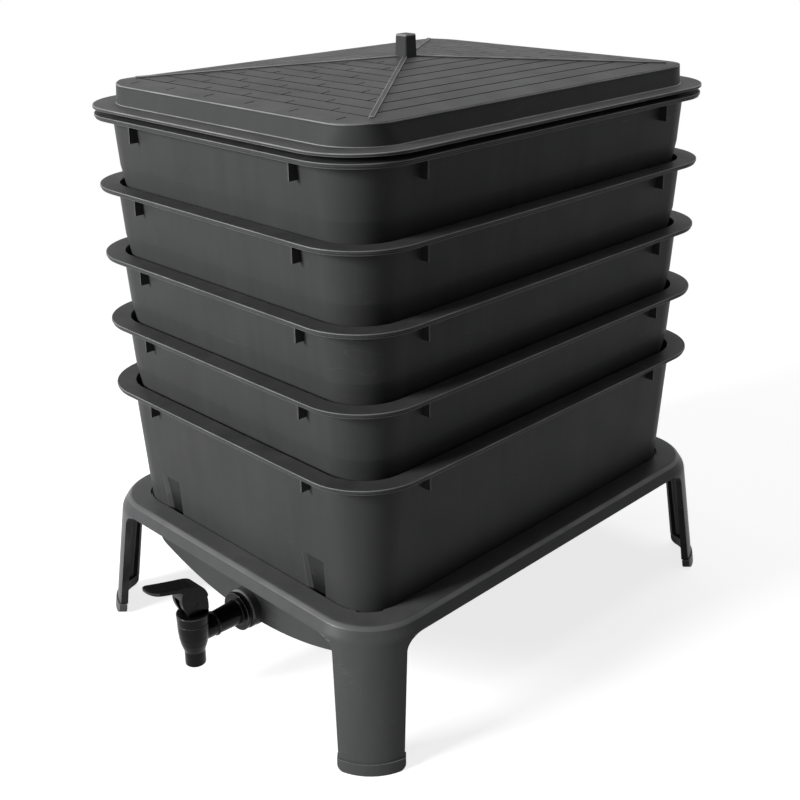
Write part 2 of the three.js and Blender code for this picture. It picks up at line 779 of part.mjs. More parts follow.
function tapBodySolid() {
  const barrel = turned([
    [0, tap.spoutEnd], [tap.spoutR, tap.spoutEnd], [tap.spoutR, tap.taperTo],
    [tap.barrelR, tap.taperFrom], [tap.barrelR, tap.barrelTop], [0, tap.barrelTop],
  ]);
  const flangeY = tap.pipeLength;
  const shankEnd = nutEndY + tap.shankTail - barrelY;
  const pipe = turnedAlongY([
    [0, 0], [tap.pipeR, 0], [tap.pipeR, tap.beadFrom], [tap.beadR, tap.beadFrom], [tap.beadR, tap.beadTo],
    [tap.pipeR, tap.beadTo], [tap.pipeR, tap.pipeRootFrom], [tap.pipeRootR, tap.pipeRootFrom],
    [tap.pipeRootR, flangeY], [tap.flangeR, flangeY], [tap.flangeR, flangeY + tap.flangeThick],
    [tap.shankR, flangeY + tap.flangeThick], [tap.shankR, shankEnd], [0, shankEnd],
  ]);
  const chamber = rod(tap.chamberR, tap.seatZ, tap.barrelTop + overlap);
  const throat = rod(tap.seatR, tap.spoutEnd - overlap, tap.seatZ + overlap);
  const spout = rod(tap.spoutBoreR, tap.spoutEnd - overlap, tap.seatZ - tap.seatThick);
  const inlet = rodAlongY(tap.pipeBoreR, tap.chamberR - wall, shankEnd + overlap, roundSteps);
  return barrel.add(pipe).subtract(chamber).subtract(throat).subtract(spout).subtract(inlet);
}

function collarSolid() {
  const low = tap.barrelTop + clearance;
  const plugR = tap.chamberR - clearance;
  const plugLow = tap.barrelTop - collar.plugDepth;
  const holeR = stem.r + clearance;
  return turned([
    [holeR, plugLow], [holeR + collar.guideWall, plugLow], [holeR + collar.guideWall, low],
    [plugR - collar.plugWall, low], [plugR - collar.plugWall, plugLow], [plugR, plugLow],
    [plugR, low], [tap.barrelR, low], [collar.flareR, collarTopZ - collar.edge],
    [collar.flareR - collar.edge, collarTopZ], [holeR, collarTopZ],
  ]);
}

function stemSolid() {
  const bottom = tap.seatZ + clearance + seal.thick - seal.socket + clearance;
  const head = stem.headHalf;
  return rod(stem.r, bottom, pinZ)
    .add(block(-stem.r, stem.r, -head, head, pinZ - head, pinZ + head))
    .subtract(rodAlongX(stem.pinR + clearance, -stem.r - overlap, stem.r + overlap).translate([0, 0, pinZ]));
}

function sealSolid() {
  const low = tap.seatZ + clearance;
  const high = low + seal.thick;
  const socketR = stem.r + clearance;
  return turned([
    [0, low], [seal.r, low], [seal.r, high], [socketR, high],
    [socketR, high - seal.socket], [0, high - seal.socket],
  ]);
}

// Points of a side outline of the lever, from the barrel's axis
function leverOutline(shares) {
  return shares.map(([y, z]) => [y * lever.reach, collarTopZ + clearance + z * lever.rise]);
}

// The paddle seen from above, with a round tip
function leverPaddlePlan() {
  const tip = -lever.reach;
  const back = lever.reach * Math.max(...leverPaddleShares.map(([y]) => y));
  const half = lever.paddleHalf;
  const plan = new THREE.Shape();
  plan.moveTo(-half, back + overlap);
  plan.lineTo(-half, tip + half);
  plan.absarc(0, tip + half, half, Math.PI, 2 * Math.PI, false);
  plan.lineTo(half, back + overlap);
  const geometry = new THREE.ExtrudeGeometry(plan, {
    depth: collarTopZ * 3, bevelEnabled: false, steps: 1, curveSegments: roundSteps / 4,
  });
  return toSolid(geometry);
}

function leverSolid() {
  const hub = sideExtruded(leverOutline(leverHubShares), -lever.hubHalf, lever.hubHalf);
  const paddle = sideExtruded(leverOutline(leverPaddleShares), -lever.paddleHalf, lever.paddleHalf)
    .intersect(leverPaddlePlan());
  const hubYs = leverHubShares.map(([y]) => y * lever.reach);
  const back = Math.max(...hubYs) - lever.slotBackWall;
  const front = Math.min(...hubYs) - overlap;
  const slotHalf = stem.r + lever.slotGap;
  const slot = block(-slotHalf, slotHalf, front, back, collarTopZ - overlap, collarTopZ + lever.slotRoof);
  const pinHole = rodAlongX(stem.pinR + clearance, -lever.paddleHalf, lever.paddleHalf)
    .translate([0, 0, pinZ]);
  return hub.add(paddle).subtract(slot).subtract(pinHole);
}

const pinSolid = () => rodAlongX(stem.pinR, -lever.hubHalf + clearance, lever.hubHalf - clearance)
  .translate([0, 0, pinZ]);

function ringAlongY(innerR, outerR, thick, steps) {
  return turnedAlongY([[innerR, 0], [outerR, 0], [outerR, thick], [innerR, thick]], steps);
}

const nutSolid = () => rodAlongY(nut.acrossR, 0, nut.thick, nutSides)
  .subtract(rodAlongY(tap.shankR + clearance, -overlap, nut.thick + overlap));

// The part
const part = new THREE.Group();
const stack = new THREE.Group();
part.add(stack);

function add(name, solid, material, position = [0, 0, 0], parent = stack) {
  const mesh = new THREE.Mesh(toGeometry(solid), material);
  mesh.name = name;
  mesh.position.set(...position);
  parent.add(mesh);
}

add('stand_frame', standSolid(), plastic);
const cornerNames = ['front_left', 'front_right', 'back_right', 'back_left'];
corners.forEach((corner, i) => add(`foot_${cornerNames[i]}`, footSolid(corner), plastic));
add('collector_bowl', bowlSolid(), plastic);

for (let tray = 1; tray < trayCount; tray += 1) {
  add(`tray_${tray}`, upperTray(), plastic, [0, 0, rimZ(tray)]);
}
add(`tray_${trayCount}`, bottomTray(), plastic, [0, 0, rimZ(trayCount)]);
add('lid', lidSolid(), plastic, [0, 0, topRimZ + lid.ventGap]);

const tapGroup = new THREE.Group();
tapGroup.position.set(0, barrelY, pipeZ);
stack.add(tapGroup);
const onTap = (y) => [0, y - barrelY, 0];
add('tap_body', tapBodySolid(), tapPlastic, [0, 0, 0], tapGroup);
add('tap_collar', collarSolid(), tapPlastic, [0, 0, 0], tapGroup);
add('tap_stem', stemSolid(), tapPlastic, [0, 0, 0], tapGroup);
add('tap_seal', sealSolid(), rubber, [0, 0, 0], tapGroup);
add('tap_lever', leverSolid(), tapPlastic, [0, 0, 0], tapGroup);
add('tap_lever_pin', pinSolid(), steel, [0, 0, 0], tapGroup);
const washerBore = tap.shankR + clearance;
add('tap_outer_washer', ringAlongY(washerBore, washer.outerR, washer.thick), rubber,
  onTap(bossFaceY - clearance - washer.thick), tapGroup);
add('tap_inner_washer', ringAlongY(washerBore, washer.innerOuterR, washer.innerThick), rubber,
  onTap(innerWasherY), tapGroup);
add('tap_lock_nut', nutSolid(), tapPlastic, onTap(nutY), tapGroup);

// The stack is set back so that the whole part, tap included, is centred on the origin
const extent = new THREE.Box3().setFromObject(stack);
stack.position.set(0, -(extent.min.y + extent.max.y) / 2, 0);

export default part;
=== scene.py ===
# %% [markdown]
# # A stacking wormery
# Five nested trays stand on a four-legged stand under a hipped lid. A trough under them
# collects the liquid, and a lever tap drains it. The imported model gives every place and
# size; this lesson gives the same pieces their moulded edges, reliefs and finishes.

# %% Load the fixed frame
import json
import math
import bpy
import bmesh
from mathutils import Matrix, Vector

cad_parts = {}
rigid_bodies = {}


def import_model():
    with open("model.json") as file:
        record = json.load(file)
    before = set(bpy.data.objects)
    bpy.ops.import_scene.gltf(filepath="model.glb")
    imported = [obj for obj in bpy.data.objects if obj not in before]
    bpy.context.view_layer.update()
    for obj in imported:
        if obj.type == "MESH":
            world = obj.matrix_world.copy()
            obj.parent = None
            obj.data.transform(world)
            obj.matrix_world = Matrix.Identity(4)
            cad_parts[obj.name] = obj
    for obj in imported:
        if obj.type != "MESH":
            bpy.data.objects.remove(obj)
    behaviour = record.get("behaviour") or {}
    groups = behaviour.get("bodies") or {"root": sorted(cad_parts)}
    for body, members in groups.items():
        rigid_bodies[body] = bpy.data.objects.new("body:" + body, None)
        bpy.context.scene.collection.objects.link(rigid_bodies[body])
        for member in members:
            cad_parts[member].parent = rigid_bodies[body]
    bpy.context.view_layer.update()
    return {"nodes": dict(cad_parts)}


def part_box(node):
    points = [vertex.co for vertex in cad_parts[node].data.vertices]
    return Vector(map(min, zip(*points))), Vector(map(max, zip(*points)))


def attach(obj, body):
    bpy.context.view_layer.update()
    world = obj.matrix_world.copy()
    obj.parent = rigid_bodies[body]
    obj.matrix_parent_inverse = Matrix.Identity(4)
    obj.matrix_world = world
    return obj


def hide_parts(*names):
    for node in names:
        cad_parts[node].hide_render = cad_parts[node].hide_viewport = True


for leftover in list(bpy.data.objects):
    bpy.data.objects.remove(leftover)
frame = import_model()
MM = 0.001
tray_low, tray_high = (Vector(corner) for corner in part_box("tray_1"))
STACK_Y = (tray_low.y + tray_high.y) / 2
print("nodes:", len(frame["nodes"]), "stack centre at y =", round(STACK_Y, 4))

# %% [markdown]
# ## How the mouldings are built
# Almost every moulding here is one outline, a rectangle with round corners, that changes
# its size with height. So a piece can be written as a section: how far out and how high
# each point is. Rounding the corners of that section gives the soft moulded edges that
# catch the light, which a bevel added afterwards would only approximate.

# %% Points, rings and skins
CORNER_STEPS = 16
QUARTERS = ((1, 1), (-1, 1), (-1, -1), (1, -1))


def corners_of(node_name):
    """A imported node's lowest and highest corners, in millimetres from the stack's middle."""
    return [(x / MM, (y - STACK_Y) / MM, z / MM) for x, y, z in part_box(node_name)]


def arc(radius, angles, x=0.0, y=0.0):
    return [(x + radius * math.cos(angle), y + radius * math.sin(angle)) for angle in angles]


def rectangle(x0, y0, x1, y1):
    return [(x0, y0), (x1, y0), (x1, y1), (x0, y1)]


def ring(half_x, half_y, radius, z):
    """A rectangle with round corners, anticlockwise, as points at one height."""
    points = []
    for turn, (sx, sy) in enumerate(QUARTERS):
        angles = ((turn + i / CORNER_STEPS) * math.pi / 2 for i in range(CORNER_STEPS + 1))
        middle = sx * (half_x - radius), sy * (half_y - radius)
        points += [(x, y, z) for x, y in arc(radius, angles, *middle)]
    return points


def skin(name, rings, closed=False):
    """A mesh with faces from ring to ring, from points in millimetres. A closed skin joins
    the last ring to the first one; an open one gets two end faces."""
    size = len(rings[0])
    faces = []
    for k in range(len(rings) if closed else len(rings) - 1):
        low, high = k * size, (k + 1) % len(rings) * size
        faces += [(low + i, low + (i + 1) % size, high + (i + 1) % size, high + i) for i in range(size)]
    if not closed:
        last = (len(rings) - 1) * size
        faces += [tuple(reversed(range(size))), tuple(range(last, last + size))]
    mesh = bpy.data.meshes.new(name)
    points = [(x * MM, y * MM + STACK_Y, z * MM) for level in rings for x, y, z in level]
    mesh.from_pydata(points, [], faces)
    obj = bpy.data.objects.new(name, mesh)
    bpy.context.collection.objects.link(obj)
    return obj


def rounded(corners, steps=4):
    """Rounds the corners of a section. The last number of each corner is its edge radius;
    the first and the one before the last are how far out and how high it is."""
    path = []
    for k, corner in enumerate(corners):
        here, radius = Vector(corner[:-1]), corner[-1]
        if k in (0, len(corners) - 1) or not radius:
            path.append(here)
            continue
        ways = [Vector(corners[k + step][:-1]) - here for step in (-1, 1)]
        flat = [Vector((way[0], way[-1])) for way in ways]
        back = min(radius / math.tan(flat[0].angle(flat[1]) / 2), *(0.49 * way.length for way in flat))
        first, last = (here + way * (back / level.length) for way, level in zip(ways, flat))
        for i in range(steps + 1):
            t = i / steps
            path.append((1 - t) ** 2 * first + 2 * t * (1 - t) * here + t * t * last)
    return path


def levels(name, corners, steps=4):
    """A skin through (half_x, half_y, corner radius, up, edge radius) levels."""
    return skin(name, [ring(*level) for level in rounded(corners, steps)])


def prism(name, outline, low, high):
    return levels(name, [(*outline, low, 0), (*outline, high, 0)])


def moulding(name, outline, section, gain=lambda up: 0, steps=4):
    """A skin through a section of (out, up, edge radius), measured out from one outline."""
    half_x, half_y, radius = outline
    return skin(name, [ring(half_x + out, half_y + out, max(radius + out + gain(up), 0.4), up)
                       for out, up in rounded(section, steps)])


print("ring of", len(ring(220, 282, 69, 0)), "points")

# %% [markdown]
# ## Joining, cutting and finishing
# Where two mouldings cross, as legs and apron do, a Boolean modifier joins them exactly.
# The result is kept as plain mesh, so that later steps see real faces. A narrow bevel then
# breaks the sharp edges. Narrow faces are then marked, rounds as edges and cuts as grooves:
# the plastic's shader paints a highlight on the edges and shade in the grooves.

# %% Helpers that settle a piece into plain mesh
EDGE_WIDTH, GROOVE_WIDTH = 0.95, 2.4  # strips narrower than these, in millimetres, are marked
FLAT, ROUND, SHARP = (math.radians(bend) for bend in (1.0, 8.0, 60.0))
LOOKS_DOWN = -0.15


def settle(obj):
    """Turns an object's modifiers into plain mesh."""
    shape = obj.evaluated_get(bpy.context.evaluated_depsgraph_get())
    mesh = bpy.data.meshes.new_from_object(shape)
    obj.modifiers.clear()
    old, obj.data = obj.data, mesh
    bpy.data.meshes.remove(old)
    mesh.name = obj.name
    return obj


def combine(obj, how, tools):
    """Joins or cuts with other pieces, which are used up."""
    for tool in tools:
        step = obj.modifiers.new(how, "BOOLEAN")
        step.operation, step.object, step.solver = how, tool, "MANIFOLD"
        settle(obj)
        bpy.data.objects.remove(tool)
    return obj


def join(obj, *tools):
    return combine(obj, "UNION", tools)


def cut(obj, *tools):
    return combine(obj, "DIFFERENCE", tools)


def within(obj, *tools):
    return combine(obj, "INTERSECT", tools)


def soften(obj, width, segments=2, angle=28):
    """Breaks the edges that are sharper than an angle."""
    step = obj.modifiers.new("soften", "BEVEL")
    step.width, step.segments = width * MM, segments
    step.limit_method, step.angle_limit = "ANGLE", math.radians(angle)
    step.miter_outer = "MITER_ARC"
    return settle(obj)


def edited(obj, change):
    """Lets a function change a piece's points and faces."""
    work = bmesh.new()
    work.from_mesh(obj.data)
    change(work)
    work.to_mesh(obj.data)
    work.free()
    return obj


def tidy(obj, gap=0.02):
    """Merges points that lie on each other and drops the slivers between them."""
    def clean(work):
        bmesh.ops.remove_doubles(work, verts=work.verts, dist=gap * MM)
        bmesh.ops.dissolve_degenerate(work, edges=work.edges, dist=gap * MM)
    return edited(obj, clean)


def faced(obj):
    """Turns the faces of a closed piece outwards."""
    return edited(obj, lambda work: bmesh.ops.recalc_face_normals(work, faces=work.faces))


def flat_regions(work):
    """Groups of neighbouring faces that lie in one plane, each with the bends round it."""
    seen = set()
    for seed in work.faces:
        if seed.index in seen:
            continue
        seen.add(seed.index)
        region, waiting, bends = [], [seed], []
        while waiting:
            face = waiting.pop()
            region.append(face)
            for edge in face.edges:
                bend = edge.calc_face_angle_signed(0)
                if abs(bend) > FLAT:
                    bends.append(bend)
                    continue
                for other in edge.link_faces:
                    if other.index not in seen:
                        seen.add(other.index)
                        waiting.append(other)
        yield region, bends


def mark_edges(obj, widest=EDGE_WIDTH, coves=False, **rules):
    """Stores marks on faces for painted light: edge, a painted highlight, on narrow outward rounds
    that don't face down, and groove, painted shade, on narrow cuts. coves sets edge on narrow
    inward rounds too, and a rule named after a mark picks more faces for it by their middle,
    in millimetres, and their normal."""
    work = bmesh.new()
    work.from_mesh(obj.data)
    work.faces.index_update()
    marks = {kind: [0.0] * len(work.faces) for kind in ("edge", "groove", "pocket")}
    for region, bends in flat_regions(work):
        points = [vert.co for face in region for vert in face.verts]
        span = [max(p[i] for p in points) - min(p[i] for p in points) for i in range(3)]
        width = sum(face.calc_area() for face in region) / max(Vector(span).length, 1e-9) / MM
        outward, inward = max(bends, default=0), min(bends, default=0)
        if width < widest and (ROUND < outward < SHARP or coves and -SHARP < inward < -ROUND):
            for face in region:
                marks["edge"][face.index] = float(face.normal.z > LOOKS_DOWN)
        elif width < GROOVE_WIDTH and inward < -SHARP:
            for face in region:
                marks["groove"][face.index] = 1.0
    for kind, rule in rules.items():
        for face in work.faces:
            if rule(face.calc_center_median() / MM, face.normal):
                marks[kind][face.index] = 1.0
    work.free()
    for kind, values in marks.items():
        obj.data.attributes.new(kind, "FLOAT", "FACE").data.foreach_set("value", values)


def dress(obj, material, slot, body, *nodes, angle=32, **marks):
    """Shades a finished piece, gives it its finish and puts it in the place of CAD nodes."""
    obj.data.polygons.foreach_set("use_smooth", [True] * len(obj.data.polygons))
    obj.data.set_sharp_from_angle(angle=math.radians(angle))
    step = obj.modifiers.new("flat faces stay flat", "WEIGHTED_NORMAL")
    step.keep_sharp = True
    settle(obj)
    mark_edges(obj, **marks)
    obj.data.materials.clear()
    obj.data.materials.append(material)
    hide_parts(*nodes)
    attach(obj, body)
    obj.data.calc_loop_triangles()
    print(obj.name, len(obj.data.loop_triangles), "triangles")
    return obj


print("strips under", EDGE_WIDTH, "mm are edges, and narrow cuts under", GROOVE_WIDTH, "mm are grooves")

# %% [markdown]
# ## The finish of moulded plastic
# The body is grey-black polypropylene with a fine spark-eroded grain. Up close it is never
# one flat colour: the pigment is slightly cloudy, the melt leaves faint streaks where it
# turned the corners, upward faces hold a little dust, and use leaves hairline scuffs. Edges
# get a painted highlight, and grooves and pockets painted shade. Each of these is a small
# node group, so that every plastic here can use the same effect with its own amounts.

# %% A short way to write nodes
class Graph:
    """Writes nodes into a tree. Every input takes a value or the socket of another node."""

    def __init__(self, tree):
        self.tree = tree

    def feed(self, socket, value):
        if isinstance(value, bpy.types.NodeSocket):
            self.tree.links.new(value, socket)
        else:
            socket.default_value = value

    def node(self, kind, settings=(), **inputs):
        """Adds a node. Inputs are named after their sockets, or by their place as _0 and _1."""
        made = self.tree.nodes.new(kind)
        for key, value in dict(settings).items():
            setattr(made, key, value)
        for key, value in inputs.items():
            self.feed(made.inputs[int(key[1:]) if key[1:].isdigit() else key.replace("_", " ")], value)
        return made

    def out(self, kind, settings=(), **inputs):
        return self.node(kind, settings, **inputs).outputs[0]

    def calc(self, operation, *values):
        places = {f"_{place}": value for place, value in enumerate(values)}
        return self.out("ShaderNodeMath", {"operation": operation}, **places)

    def times(self, a, b):
        return self.calc("MULTIPLY", a, b)

    def spread(self, value, low, high, to_low=0.0, to_high=1.0):
        """Maps low..high onto to_low..to_high and holds the ends."""
        return self.out("ShaderNodeMapRange", Value=value, From_Min=low, From_Max=high,
                        To_Min=to_low, To_Max=to_high)

    def xyz(self, **parts):
        return self.out("ShaderNodeCombineXYZ", **parts)

    def axis(self, vector, name):
        return self.node("ShaderNodeSeparateXYZ", _0=vector).outputs[name]

    def place(self):
        return self.node("ShaderNodeTexCoord").outputs["Object"]

    def noise(self, place, scale, detail, roughness=0.5):
        return self.out("ShaderNodeTexNoise", Vector=place, Scale=scale, Detail=detail,
                        Roughness=roughness)

    def mark(self, name):
        """What mark_edges stored on the faces."""
        return self.node("ShaderNodeAttribute", {"attribute_name": name}).outputs["Fac"]

    def blended(self, mask, a, b):
        """The colour a where the mask is 0 and b where it is 1."""
        return self.node("ShaderNodeMix", {"data_type": "RGBA"}, _0=mask, _6=a, _7=b).outputs[2]

    def effect(self, group_tree, **values):
        return self.node("ShaderNodeGroup", {"node_tree": group_tree}, **values).outputs

    def realized(self, geometry):
        return self.out("GeometryNodeRealizeInstances", Geometry=geometry)

    def joined(self, *parts):
        both = self.node("GeometryNodeJoinGeometry")
        for part in parts:
            self.tree.links.new(part, both.inputs[0])
        return both.outputs[0]

    def cut(self, geometry, tool):
        return self.out("GeometryNodeMeshBoolean", {"operation": "DIFFERENCE", "solver": "MANIFOLD"},
                        _0=geometry, _1=tool)


# %% Groups that several materials share
SOCKET_KINDS = {int: "Int", float: "Float", tuple: "Vector"}


def new_tree(name, inputs, outputs, tree_kind="Shader", output_kind="Float"):
    """A tree with named inputs and outputs. An input is given as its default, or as its kind
    of socket. Returns what writes its nodes, its inputs, and a function that takes the
    outputs and gives the tree."""
    tree = bpy.data.node_groups.new(name, tree_kind + "NodeTree")
    for label, value in inputs.items():
        kind = value if isinstance(value, str) else SOCKET_KINDS[type(value)]
        socket = tree.interface.new_socket(label, in_out="INPUT", socket_type="NodeSocket" + kind)
        if kind != value:
            socket.default_value = value
    for label in outputs:
        tree.interface.new_socket(label, in_out="OUTPUT", socket_type="NodeSocket" + output_kind)
    given, result = tree.nodes.new("NodeGroupInput"), tree.nodes.new("NodeGroupOutput")

    def finish(**sockets):
        for label, socket in sockets.items():
            tree.links.new(socket, result.inputs[label])
        return tree

    return Graph(tree), given.outputs, finish


# %% Cloudy pigment, moulded grain and melt streaks
MIDDLE = (0.3, 0.7)  # where most values of a noise texture lie


def build_grain():
    graph, given, finish = new_tree("moulded grain", {
        "Grain Scale": 900.0, "Cloud Scale": 9.0, "Streaks": 0.3}, ("Height", "Tone", "Polish"))
    place = graph.place()
    grain = graph.noise(place, given["Grain Scale"], 2.0, 0.6)
    cloud = graph.noise(place, given["Cloud Scale"], 5.0, 0.62)
    streak = graph.noise(graph.out("ShaderNodeMapping", Vector=place, Scale=(70.0, 70.0, 5.0)), 1.0, 3.0)
    shifted = graph.out("ShaderNodeMapping", Vector=place, Location=(3.1, 7.7, 1.9))
    polish = graph.noise(shifted, graph.times(given["Cloud Scale"], 2.3), 4.0)
    tone = graph.out("ShaderNodeMix", _0=given["Streaks"], _2=graph.spread(cloud, *MIDDLE),
                     _3=graph.spread(streak, *MIDDLE))
    return finish(Height=grain, Tone=tone, Polish=graph.spread(polish, *MIDDLE))


# %% Painted edge highlights and shade, settled dust and hairline scuffs
def build_painted_light():
    graph, given, finish = new_tree("edge wear", {
        "Patch Scale": 24.0, "Least": 0.6, "Pocket Low": 0.148, "Pocket High": 0.17}, ("Wear", "Dirt"))
    place = graph.place()
    amount = graph.spread(graph.noise(place, given["Patch Scale"], 4.0), 0.38, 0.62, given["Least"])
    # Painted shade in the hand recesses, darker towards the bottom.
    deep = graph.spread(graph.axis(place, "Z"), given["Pocket Low"], given["Pocket High"], 0.85, 0.4)
    # The edge mark becomes a painted highlight; the groove and pocket marks become painted shade.
    edge, groove, pocket = (graph.times(graph.mark(name), much) for name, much in (
        ("edge", amount), ("groove", amount), ("pocket", deep)))
    return finish(Wear=edge, Dirt=graph.calc("MAXIMUM", groove, pocket))


def build_dust():
    graph, given, finish = new_tree("settled dust", {"Scale": 30.0, "Amount": 0.3}, ("Dust",))
    up = graph.axis(graph.node("ShaderNodeNewGeometry").outputs["Normal"], "Z")
    drift = graph.noise(graph.place(), given["Scale"], 6.0, 0.65)
    lying = graph.times(graph.spread(up, 0.55, 0.95), graph.spread(drift, 0.35, 0.7))
    return finish(Dust=graph.times(lying, given["Amount"]))


def build_scuffs():
    graph, given, finish = new_tree("hairline scuffs", {"Scale": 14.0, "Width": 0.006}, ("Scuffs",))
    place = graph.place()
    drawn = graph.out("ShaderNodeMapping", Vector=place, Rotation=(0.5, 0.3, 0.4), Scale=(1.0, 1.0, 5.0))
    off = graph.calc("ABSOLUTE", graph.calc("SUBTRACT", graph.noise(drawn, given["Scale"], 1.0), 0.5))
    thin = graph.calc("LESS_THAN", off, given["Width"])
    return finish(Scuffs=graph.times(thin, graph.spread(graph.noise(place, 11.0, 2.0), 0.56, 0.64)))


GRAIN, PAINTED_LIGHT, DUST, SCUFFS = build_grain(), build_painted_light(), build_dust(), build_scuffs()
print("shader groups:", [tree.name for tree in (GRAIN, PAINTED_LIGHT, DUST, SCUFFS)])


# %% One recipe for every moulded plastic, with its own values
def grey(level, tint=0.0):
    """A linear grey, a little blue where tint is above zero."""
    return (level, level * (1 + tint * 0.5), level * (1 + tint), 1.0)


def new_material(name):
    material = bpy.data.materials.new(name)
    material.use_nodes = True
    return material, Graph(material.node_tree)


def finished(material, **sockets):
    """Feeds the material's own shader."""
    shader = material.node_tree.nodes["Principled BSDF"]
    for label, value in sockets.items():
        Graph(material.node_tree).feed(shader.inputs[label.replace("_", " ")], value)
    return material


def moulded_plastic(name, level, rough, gloss, grain=(900.0, 0.00012), cloud=(9.0, 0.12), streaks=0.3,
                    edge_highlight=2.0, dust=0.25, scuffs=14.0):
    """level: grey of the pigment. rough: lowest and highest roughness. gloss: specular level.
    grain: scale and depth. cloud: scale and strength. edge_highlight: how much paler an edge
    is painted, as a painted highlight."""
    print(name, "has a grey of", level, "and a roughness of", rough)
    material, graph = new_material(name)
    surface = graph.effect(GRAIN, Grain_Scale=grain[0], Cloud_Scale=cloud[0], Streaks=streaks)
    edges, lying = graph.effect(PAINTED_LIGHT), graph.effect(DUST, Amount=dust)["Dust"]
    lines = graph.times(graph.effect(SCUFFS, Scale=scuffs)["Scuffs"], 0.22)
    clouds = (grey(level * (1 + way * cloud[1]), 0.03) for way in (-1, 1))
    colour = graph.blended(surface["Tone"], *clouds)
    # Painted light: edges are painted paler as a highlight and the shade mask paints grooves and pockets
    # darker; dust and scuffs are real.
    for mask, over in ((edges["Wear"], grey(level * edge_highlight, 0.02)), (lying, grey(0.16, -0.05)),
                       (edges["Dirt"], grey(level * 0.15)), (lines, grey(level * 1.9))):
        colour = graph.blended(mask, colour, over)
    shine = graph.spread(surface["Polish"], 0.0, 1.0, *rough)
    return finished(
        material, Base_Color=colour, Roughness=graph.calc("ADD", shine, graph.times(lying, 0.3)),
        Normal=graph.out("ShaderNodeBump", Height=surface["Height"], Strength=0.35, Distance=grain[1]),
        Specular_IOR_Level=graph.calc("MULTIPLY_ADD", edges["Wear"], 0.35, gloss))


# The last number of each plastic sets how strong its painted edge highlight is.
TRAY_PLASTIC = moulded_plastic("tray_plastic", 0.056, (0.42, 0.52), 0.07, streaks=0.45, edge_highlight=3.8)
LID_PLASTIC = moulded_plastic("lid_plastic", 0.060, (0.46, 0.58), 0.07, grain=(700.0, 0.00018),
                              dust=0.3, edge_highlight=4.6)
# The stand's grey is lighter than the trays' same body plastic: a painted lift of light on the stand and its
# shoes.
STAND_PLASTIC = moulded_plastic("stand_plastic", 0.090, (0.34, 0.44), 0.08, streaks=0.4, edge_highlight=1.45)
BOWL_PLASTIC = moulded_plastic("bowl_plastic", 0.066, (0.44, 0.54), 0.07, streaks=0.2, edge_highlight=4.0)
TAP_PLASTIC = moulded_plastic("tap_black", 0.0035, (0.22, 0.32), 0.12, grain=(1500.0, 0.00004),
                              cloud=(40.0, 0.3), streaks=0.1, edge_highlight=9.0, dust=0.02, scuffs=60.0)

# %% [markdown]
# ## The trays
# A tray is a tapered box with a flat rim that overhangs its wall, and a foot band that
# tapers faster so that it drops into the rim below. One section gives all of it: up the
# outside, round the rim, whose edge has a small step, and down the inside to the floor.

# %% Sizes of the trays and their section
RIM = ((tray_high.x - tray_low.x) / 2 / MM, (tray_high.y - tray_low.y) / 2 / MM, 69.0)
OVERHANG, RIM_THICK, WALL = 18.5, 5.0, 2.5
WALL_TOP = tuple(size - OVERHANG for size in RIM)
DRAFT = 0.078
FLOOR_STRIP = 16.0  # how far in the first ring of a floor lies
UPPER = dict(height=95.0, band=39.0, slope=0.126, tuck=9.0)
DEEP = dict(height=160.0, band=44.0, slope=0.09, tuck=0.0)


def wall_out(shape, up):
    """How far out the wall's outer face is at a height below the rim's top."""
    band_up = shape["band"] - shape["height"]
    out = -DRAFT * (-max(up, band_up) - RIM_THICK)
    return out - shape["slope"] * max(band_up - up, 0)


def tray_section(shape, top):
    band, foot = shape["band"] - shape["height"], -shape["height"]
    floor, step = foot + WALL, OVERHANG - 1.1
    at_band, at_foot = wall_out(shape, band), wall_out(shape, foot)
    section = [
        (at_foot - FLOOR_STRIP, foot, 0), (at_foot, foot, 2.4), (at_band, band, 5),
        (wall_out(shape, -RIM_THICK), -RIM_THICK, 1.4), (step, -RIM_THICK, 0.5), (step, -3.0, 0.25),
        (OVERHANG, -2.5, 0.3), (OVERHANG, 0, 0.8), (DRAFT * RIM_THICK - WALL, 0, 1.2),
        (at_band - WALL, band, 5), (at_foot - WALL, floor, 4), (at_foot - WALL - FLOOR_STRIP, floor, 0)]
    return [(out, up + top, radius) for out, up, radius in section]


def tray_skin(name, shape, top):
    band = top + shape["band"] - shape["height"]
    gain = lambda up: shape["tuck"] * min(max((band - up) / shape["band"], 0), 1)
    return moulding(name, WALL_TOP, tray_section(shape, top), gain)


rim_tops = {k: corners_of(f"tray_{k}")[1][2] for k in range(1, 6)}
print("rim tops, mm:", {k: round(z, 1) for k, z in rim_tops.items()})

# %% [markdown]
# ### Drain holes by rule
# The floor has a regular grid of square holes. A Geometry Nodes tree places one cube on
# each point of a grid and cuts them all at once, so the counts and the pitch stay sizes
# that can be changed, as on a drawing.

# %% Geometry Nodes helpers and the drain tree
# Six holes by eight, 52 mm and 54 mm apart
HOLE_GRID = dict(across=6, along=8, width=5 * 52.0 * MM, length=7 * 54.0 * MM, hole=(0.01, 0.01, 0.008))


def geometry_tree(name, inputs):
    """A tree that changes a geometry. The function that ends it realizes the geometry and
    gives it a material, as an export needs."""
    sockets = {"Geometry": "Geometry", **inputs, "Material": "Material"}
    graph, given, finish = new_tree(name, sockets, ("Geometry",), "Geometry", "Geometry")

    def finish_geometry(geometry):
        return finish(Geometry=graph.out("GeometryNodeSetMaterial", Geometry=graph.realized(geometry),
                                         Material=given["Material"]))

    return graph, given, finish_geometry


def run_tree(obj, tree, **values):
    """Runs a tree on a piece with its own sizes and keeps the result as plain mesh."""
    step = obj.modifiers.new(tree.name, "NODES")
    step.node_group = tree
    for item in tree.interface.items_tree:
        key = item.name.replace(" ", "_").lower()
        if item.item_type == "SOCKET" and item.in_out == "INPUT" and key in values:
            step[item.identifier] = values[key]
    return settle(obj)


